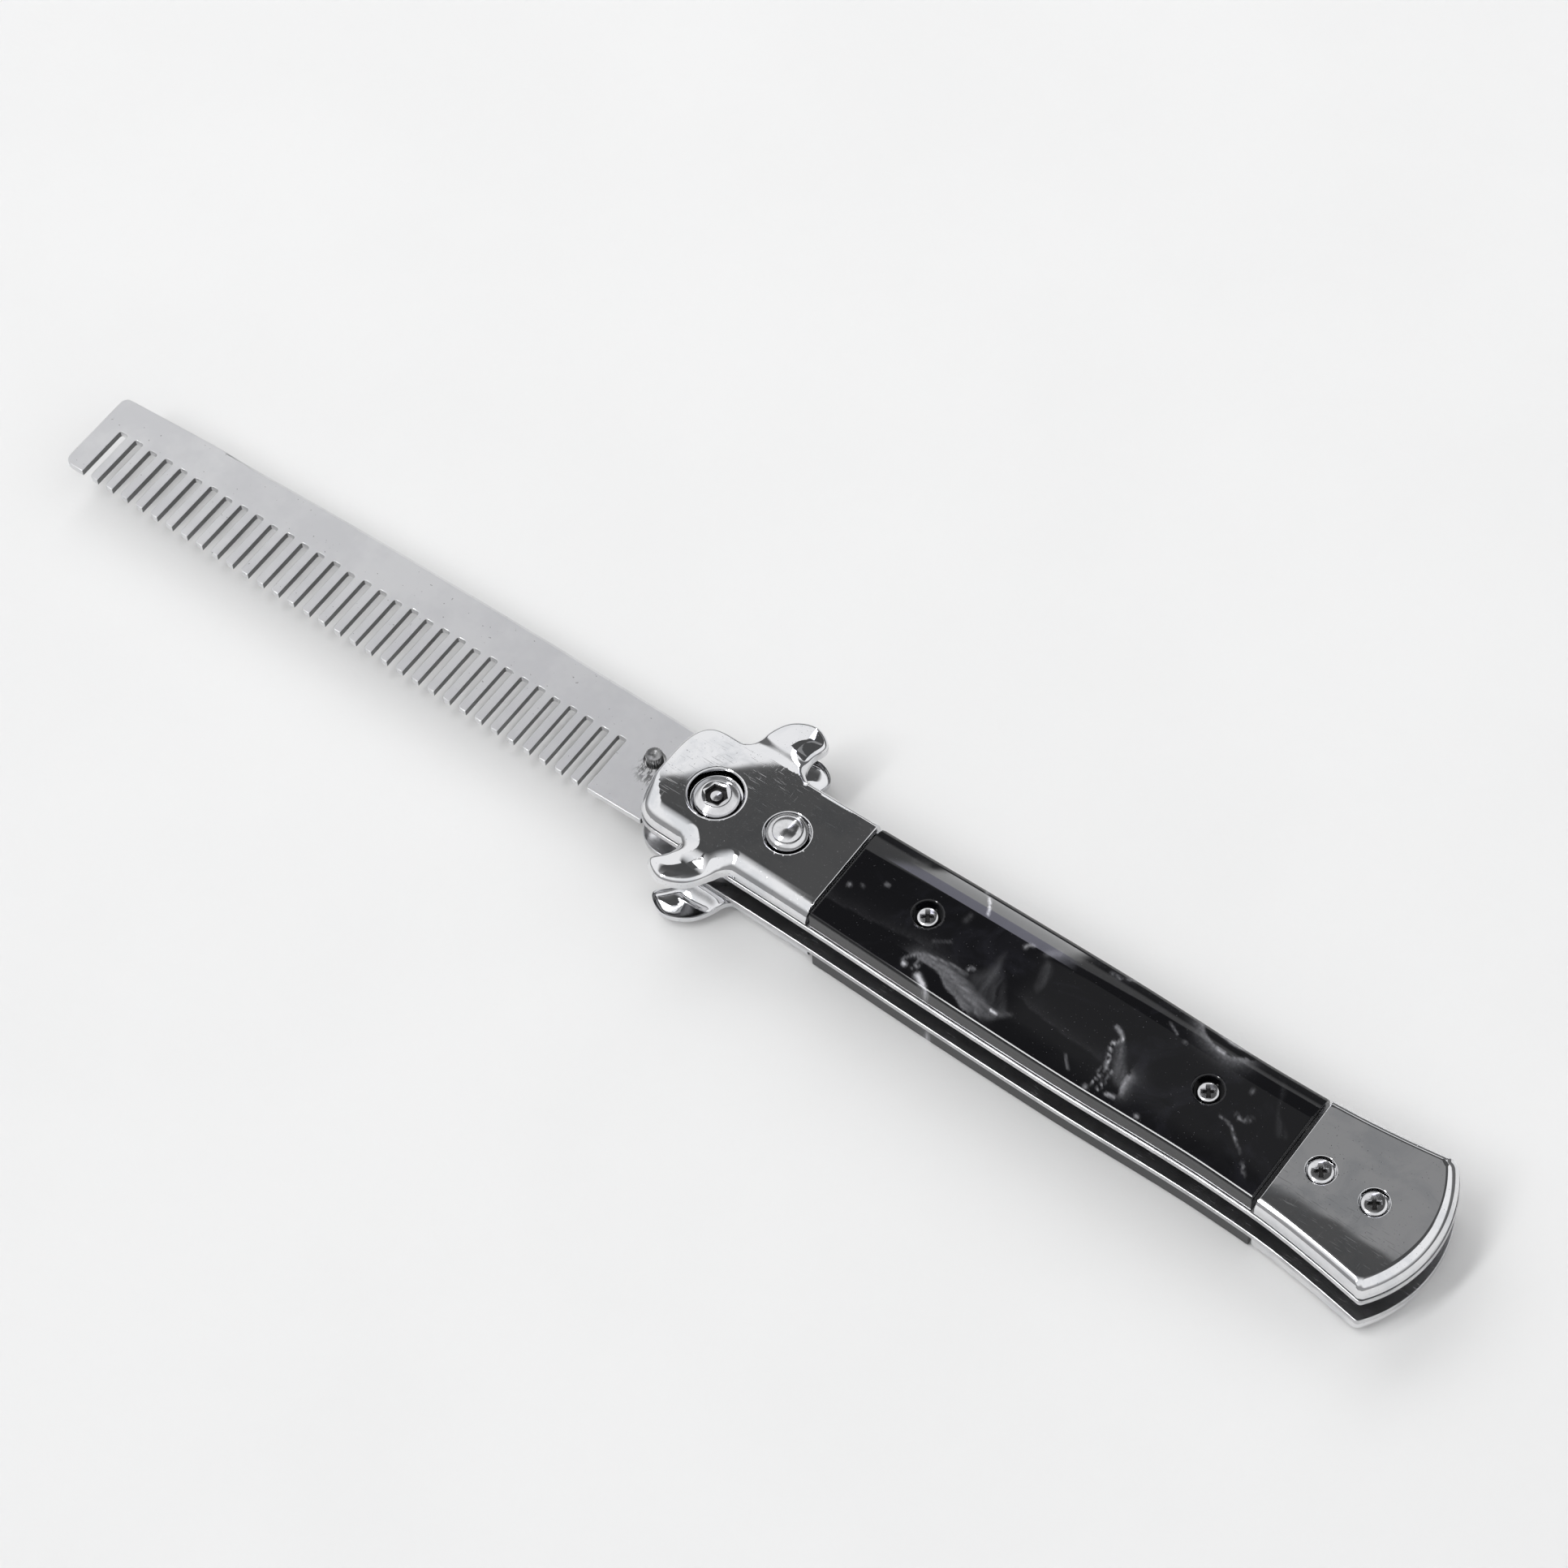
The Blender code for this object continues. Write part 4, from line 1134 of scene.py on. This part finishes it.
def crossAngles(arm, half, turn):
    corner = math.atan2(half, arm)
    quarter = [-corner, -corner / 2, 0.0, corner / 2, corner]
    quarter += [0.40, 0.55, math.pi / 4, math.pi / 2 - 0.55, math.pi / 2 - 0.40]
    return np.array([angle + turn + k * math.pi / 2 for k in range(4) for angle in quarter])


def soil(piece, centre, near, far, top):      # painted shade in a recess, from one radius to another, below its top
    corners = cornersOf(piece)
    away = np.hypot(*(corners[:, :2] - centre).T)
    depth = np.clip((top - np.abs(corners[:, 2])) / 0.1, 0.0, 1.0)
    paint(piece, "paintedShade", np.where((away > near) & (away < far), depth, 0.0))


pinShape = {
    "radius": 1.25, "half": 2.1, "ridges": 22, "ridgeDepth": 0.10, "edge": 0.18,
    "dimple": 0.45, "dimpleDepth": 0.16,
}


def knurled(angles):
    look = pinShape
    return look["radius"] - look["ridgeDepth"] * (0.5 + 0.5 * np.cos(angles * look["ridges"]))


def pinShell():
    look = pinShape
    inner = look["radius"] - look["edge"]
    half = look["half"]
    dimple = look["dimple"]
    profile = [
        (0, -half), (inner, -half), (knurled, look["edge"] - half), (knurled, half - look["edge"]),
        (inner, half), (dimple, half), (dimple - 0.15, half - 0.12), (0, half - look["dimpleDepth"]),
    ]
    return turnedShell(combShape["pinPlace"], profile, roundAngles(132))


pivotShape = {
    "shank": 1.8, "shankEnd": -6.0, "seat": 5.5, "head": 3.3, "crown": 6.5, "rim": 2.1,
    "hexAcross": 3.0, "hexDepth": 1.1, "hexTurn": 0.26, "tipRadius": 0.95, "tipHeight": 0.62,
}


def pivotHeadShell():
    look = pivotShape
    hexagon = hexRadius(look["hexAcross"], look["hexTurn"])
    shank = look["shank"]
    seat = look["seat"]
    crown = look["crown"]
    floor = crown - look["hexDepth"]
    head = look["head"]
    rim = look["rim"]
    tip = look["tipRadius"]
    top = floor + look["tipHeight"]
    profile = [
        (0, look["shankEnd"]), (shank, look["shankEnd"]), (shank, seat),
        (head - 0.1, seat), (head, seat + 0.1), (head, crown - 0.82), (head - 0.08, crown - 0.66),
        (head - 0.3, crown - 0.48), (head - 0.7, crown - 0.28), (rim + 0.2, crown - 0.06), (rim, crown),
        (rim - 0.12, crown), (hexagon, crown - 0.16), (hexagon, floor),
        (tip, floor), (tip - 0.12, top - 0.12), (0.25, top), (0, top),
    ]
    return turnedShell((0.0, 0.0), profile, roundAngles(96))


nutShape = {"head": 3.3, "crown": -6.6, "seat": -5.5, "bore": 2.1, "boreEnd": -6.3}


def pivotNutShell():
    look = nutShape
    crown = look["crown"]
    head = look["head"]
    seat = look["seat"]
    bore = look["bore"]
    profile = [
        (0, crown), (1.0, crown + 0.01), (head * 0.7, crown + 0.04), (head - 0.3, crown + 0.22),
        (head - 0.05, crown + 0.5), (head, crown + 0.7), (head, seat),
        (bore, seat), (bore, look["boreEnd"]), (0, look["boreEnd"]),
    ]
    return turnedShell((0.0, 0.0), profile, roundAngles(72))


screwShape = {
    "shank": 0.9, "shankEnd": 2.7, "seat": 5.5,
    "arm": 1.0, "half": 0.3, "depth": 0.7, "turn": math.radians(35),
    "scaleHead": 1.6, "scaleCrown": 6.6, "pommelHead": 1.85, "pommelCrown": 6.52,
}


def screwShell(place, head, crown):
    look = screwShape
    arm = look["arm"]
    half = look["half"]
    turn = look["turn"]
    cross = crossRadius(arm, half, turn)
    wider = crossRadius(arm + 0.05, half + 0.05, turn)
    narrow = crossRadius(arm * 0.55, half * 0.7, turn)
    profile = [
        (0, look["shankEnd"]), (look["shank"], look["shankEnd"]), (look["shank"], look["seat"]),
        (head, look["seat"]), (head, crown - 0.3), (head - 0.05, crown - 0.2), (head - 0.16, crown - 0.1),
        (head * 0.75, crown - 0.02), (wider, crown), (cross, crown - 0.06), (narrow, crown - look["depth"]),
        (0, crown - look["depth"]),
    ]
    return turnedShell(place, profile, crossAngles(arm, half, turn))


buttonShape = {"radius": 3.0, "top": 7.8, "base": 3.75}


def buttonShell():
    look = buttonShape
    r = look["radius"]
    top = look["top"]
    profile = [
        (0, look["base"]), (r, look["base"]), (r, top - 1.2), (r - 0.03, top - 1.0), (r - 0.14, top - 0.78),
        (r - 0.4, top - 0.55), (r * 0.72, top - 0.34), (r * 0.66, top - 0.36), (r * 0.6, top - 0.24),
        (r * 0.4, top - 0.1), (r * 0.2, top - 0.03), (0, top),
    ]
    return turnedShell(bolsterShape["buttonPlace"], profile, roundAngles(72))


makePiece("stopPin", pinShell(), pinMetal, "comb", "comb_pin")
pivotScrew = makePiece("pivotScrew", pivotHeadShell(), screwMetal, "handle", "pivot_screw")
# painted shade in the pivot screw's hex socket
near = pivotShape["tipRadius"] - 0.06
soil(pivotScrew, (0.0, 0.0), near, pivotShape["rim"] - 0.2, pivotShape["crown"] - 0.2)
makePiece("pivotNut", pivotNutShell(), screwMetal, "handle", "pivot_nut")
makePiece("pushButton", buttonShell(), screwMetal, "handle", "push_button")
for group, places in (("scale", scaleShape["screws"]), ("pommel", pommelShape["screws"])):
    for number, place in enumerate(places, 1):
        crown = screwShape[group + "Crown"]
        shell = screwShell(place, screwShape[group + "Head"], crown)
        for piece in makeSides(group + "Screw", bothSides(shell), screwMetal, group + "_screw", str(number)):
            # painted shade in each screw's cross recess
            soil(piece, place, -1.0, screwShape["arm"] + 0.1, crown - 0.08)
for side in ("front", "back"):
    washer = frame["nodes"]["pivot_washer_" + side]
    washer.data.materials.clear()
    washer.data.materials.append(innerMetal)
print("screws, pin and button made")


# Table, light and camera

tableLook = {
    "half": 1.6, "colour": (0.78, 0.778, 0.772), "shade": (0.768, 0.766, 0.76),
    "clouds": ((0.02, 4.0), 0.35, 0.65),
    "roughness": 0.62, "tooth": 0.1, "teeth": (1.2, 3.0), "bump": 0.3, "depth": 0.00005,
}


def layTable():
    look = tableLook
    half = look["half"]
    mesh = bpy.data.meshes.new("table")
    corners = [(-half, -half, 0), (half, -half, 0), (half, half, 0), (-half, half, 0)]
    mesh.from_pydata(corners, [], [(0, 1, 2, 3)])
    table = bpy.data.objects.new("table", mesh)
    bpy.context.scene.collection.objects.link(table)
    finish, bench, wear = newFinish("table_top", 0.0)
    where = bench.millimetres()
    tooth = bench.grain(where, *look["teeth"])
    colour = bench.mixed(bench.patches(where, *look["clouds"]), look["colour"], look["shade"])
    wear(colour, look["roughness"] + tooth * look["tooth"], tooth, look["bump"], look["depth"])
    mesh.materials.append(finish)


# Brightness and edges of the cards and strips that the steel mirrors. u and v are slopes x/z and y/z from
# straight up, and x runs from -1 to 1.
studioLook = {
    "overhead": 1.0, "horizon": 0.24, "rise": (0.12, 0.5),
    "backCard": 0.16, "backV": (1.3, 1.9), "frontCard": 0.34, "frontV": (0.7, 1.7),
    # the dark card in the bolster's face, cut off along a slant
    "faceCard": 0.085, "faceU": (-0.47, 0.2), "faceV": (0.02, 0.50), "faceSoft": 0.28,
    "slantFrom": (-3.3, 2.2), "slant": 0.9, "slantSoft": (-0.4, 0.8),
    "mirrorX": (229.7, 572.9), "mirrorY": (-254.9, 572.9),      # where a flat face mirrors a slope
    # brightness, u and its blur, v and its blur
    "cards": (
        (0.085, (-0.36, 0.12, 0.006), (0.47, 1.5, 0.03)),      # behind the bolster's card
        (0.10, (-0.345, -0.243, 0.006), (-0.9, 0.25, 0.05)),      # in front of it
        (0.29, (-0.31, -0.12, 0.004), (0.4355, 0.54, 0.0004)),      # in the butt cap's face
    ),
    "strip": 3.6, "stripTop": 5.2, "stripX": (-0.309, -0.2705), "stripV": (0.56, 1.0, 6.0),
    "stripTint": (0.83, 0.83, 1.0), "tint": (0.985, 0.99, 1.0),
    "frontStrip": 19.0, "frontStripX": (-0.318, -0.293, -0.2165), "frontStripV": (-1.0, -0.12, 0.03),
}


def hangCards():
    look = studioLook
    world = bpy.data.worlds.new("studio")
    bpy.context.scene.world = world
    world.use_nodes = True
    bench = Bench(world.node_tree)
    ray = bench.node("ShaderNodeTexCoord", out="Generated")
    x, y, z = (bench.node("ShaderNodeSeparateXYZ", {}, {0: ray}, part) for part in range(3))
    up = z.maths("MAXIMUM", z, 0.02)
    u = x / up
    v = y / up
    behind = bench.soft(y, 0.0, 0.08)

    def edge(signal, place, blur):
        return bench.soft(signal, place - blur, place + blur)

    def lay(under, share, bright):
        return under * (1 - share) + share * bright

    sky = look["horizon"] + (look["overhead"] - look["horizon"]) * bench.soft(z, *look["rise"])
    sky = lay(sky, behind * bench.soft(v, *look["backV"]), look["backCard"])
    sky = lay(sky, bench.soft(-1 * v, *look["frontV"]), look["frontCard"])
    faceX = look["mirrorX"][0] + look["mirrorX"][1] * u
    faceY = look["mirrorY"][0] + look["mirrorY"][1] * v
    corner = look["slantFrom"]
    beyond = (faceX - corner[0]) * look["slant"] - (faceY - corner[1])
    low, high = look["faceV"]
    card = bench.between(u, *look["faceU"], 0.03) * bench.soft(beyond, *look["slantSoft"])
    card = card * edge(v, low, look["faceSoft"]) * (1 - edge(v, high, 0.03))
    sky = lay(sky, card, look["faceCard"])
    for bright, across, along in look["cards"]:
        sky = lay(sky, bench.between(u, *across) * bench.between(v, *along), bright)
    low, middle, high = look["stripV"]
    strip = behind * bench.between(x, *look["stripX"], 0.002) * edge(v, low, 0.01) * (1 - edge(v, high, 0.2))
    paler = edge(v, middle, 0.02)
    sky = lay(sky, strip, look["strip"] + (look["stripTop"] - look["strip"]) * paler)
    dim, full, end = look["frontStripX"]
    front = bench.soft(x, dim, full) * (1 - edge(x, end, 0.001)) * bench.between(v, *look["frontStripV"])
    sky = sky + front * look["frontStrip"]
    colour = bench.mixed(strip * (1 - paler), look["tint"], look["stripTint"])
    background = bench.node("ShaderNodeBackground", {}, {"Color": colour, "Strength": sky})
    bench.node("ShaderNodeOutputWorld", {}, {0: background})


lampLook = {"energy": 1.5, "place": (-0.45, 0.35, 0.75), "size": (0.7, 0.5)}


def hangLamp():
    look = lampLook
    lamp = bpy.data.lights.new("softbox", "AREA")
    lamp.shape = "RECTANGLE"
    lamp.size, lamp.size_y = look["size"]
    lamp.energy = look["energy"]
    holder = bpy.data.objects.new("softbox", lamp)
    holder.location = look["place"]
    holder.rotation_euler = (-holder.location).to_track_quat("-Z", "Y").to_euler()
    holder.visible_glossy = False
    bpy.context.scene.collection.objects.link(holder)


cameraPlace = {
    "place": (0.2282, -0.2561, 0.58665), "aim": (0.00264, 0.00838, 0.00715), "roll": -4.506, "view": 18.29,
}


def placeCamera():
    lens = bpy.data.cameras.new("camera")
    lens.angle = math.radians(cameraPlace["view"])
    camera = bpy.data.objects.new("camera", lens)
    look = Vector(cameraPlace["aim"]) - Vector(cameraPlace["place"])
    roll = Matrix.Rotation(math.radians(cameraPlace["roll"]), 3, "Z")
    turn = look.to_track_quat("-Z", "Y").to_matrix() @ roll
    camera.matrix_world = Matrix.Translation(cameraPlace["place"]) @ turn.to_4x4()
    bpy.context.scene.collection.objects.link(camera)
    bpy.context.scene.camera = camera


layTable()
hangCards()
hangLamp()
placeCamera()
bpy.context.scene.view_settings.view_transform = "Standard"
print("table, lights and camera placed")
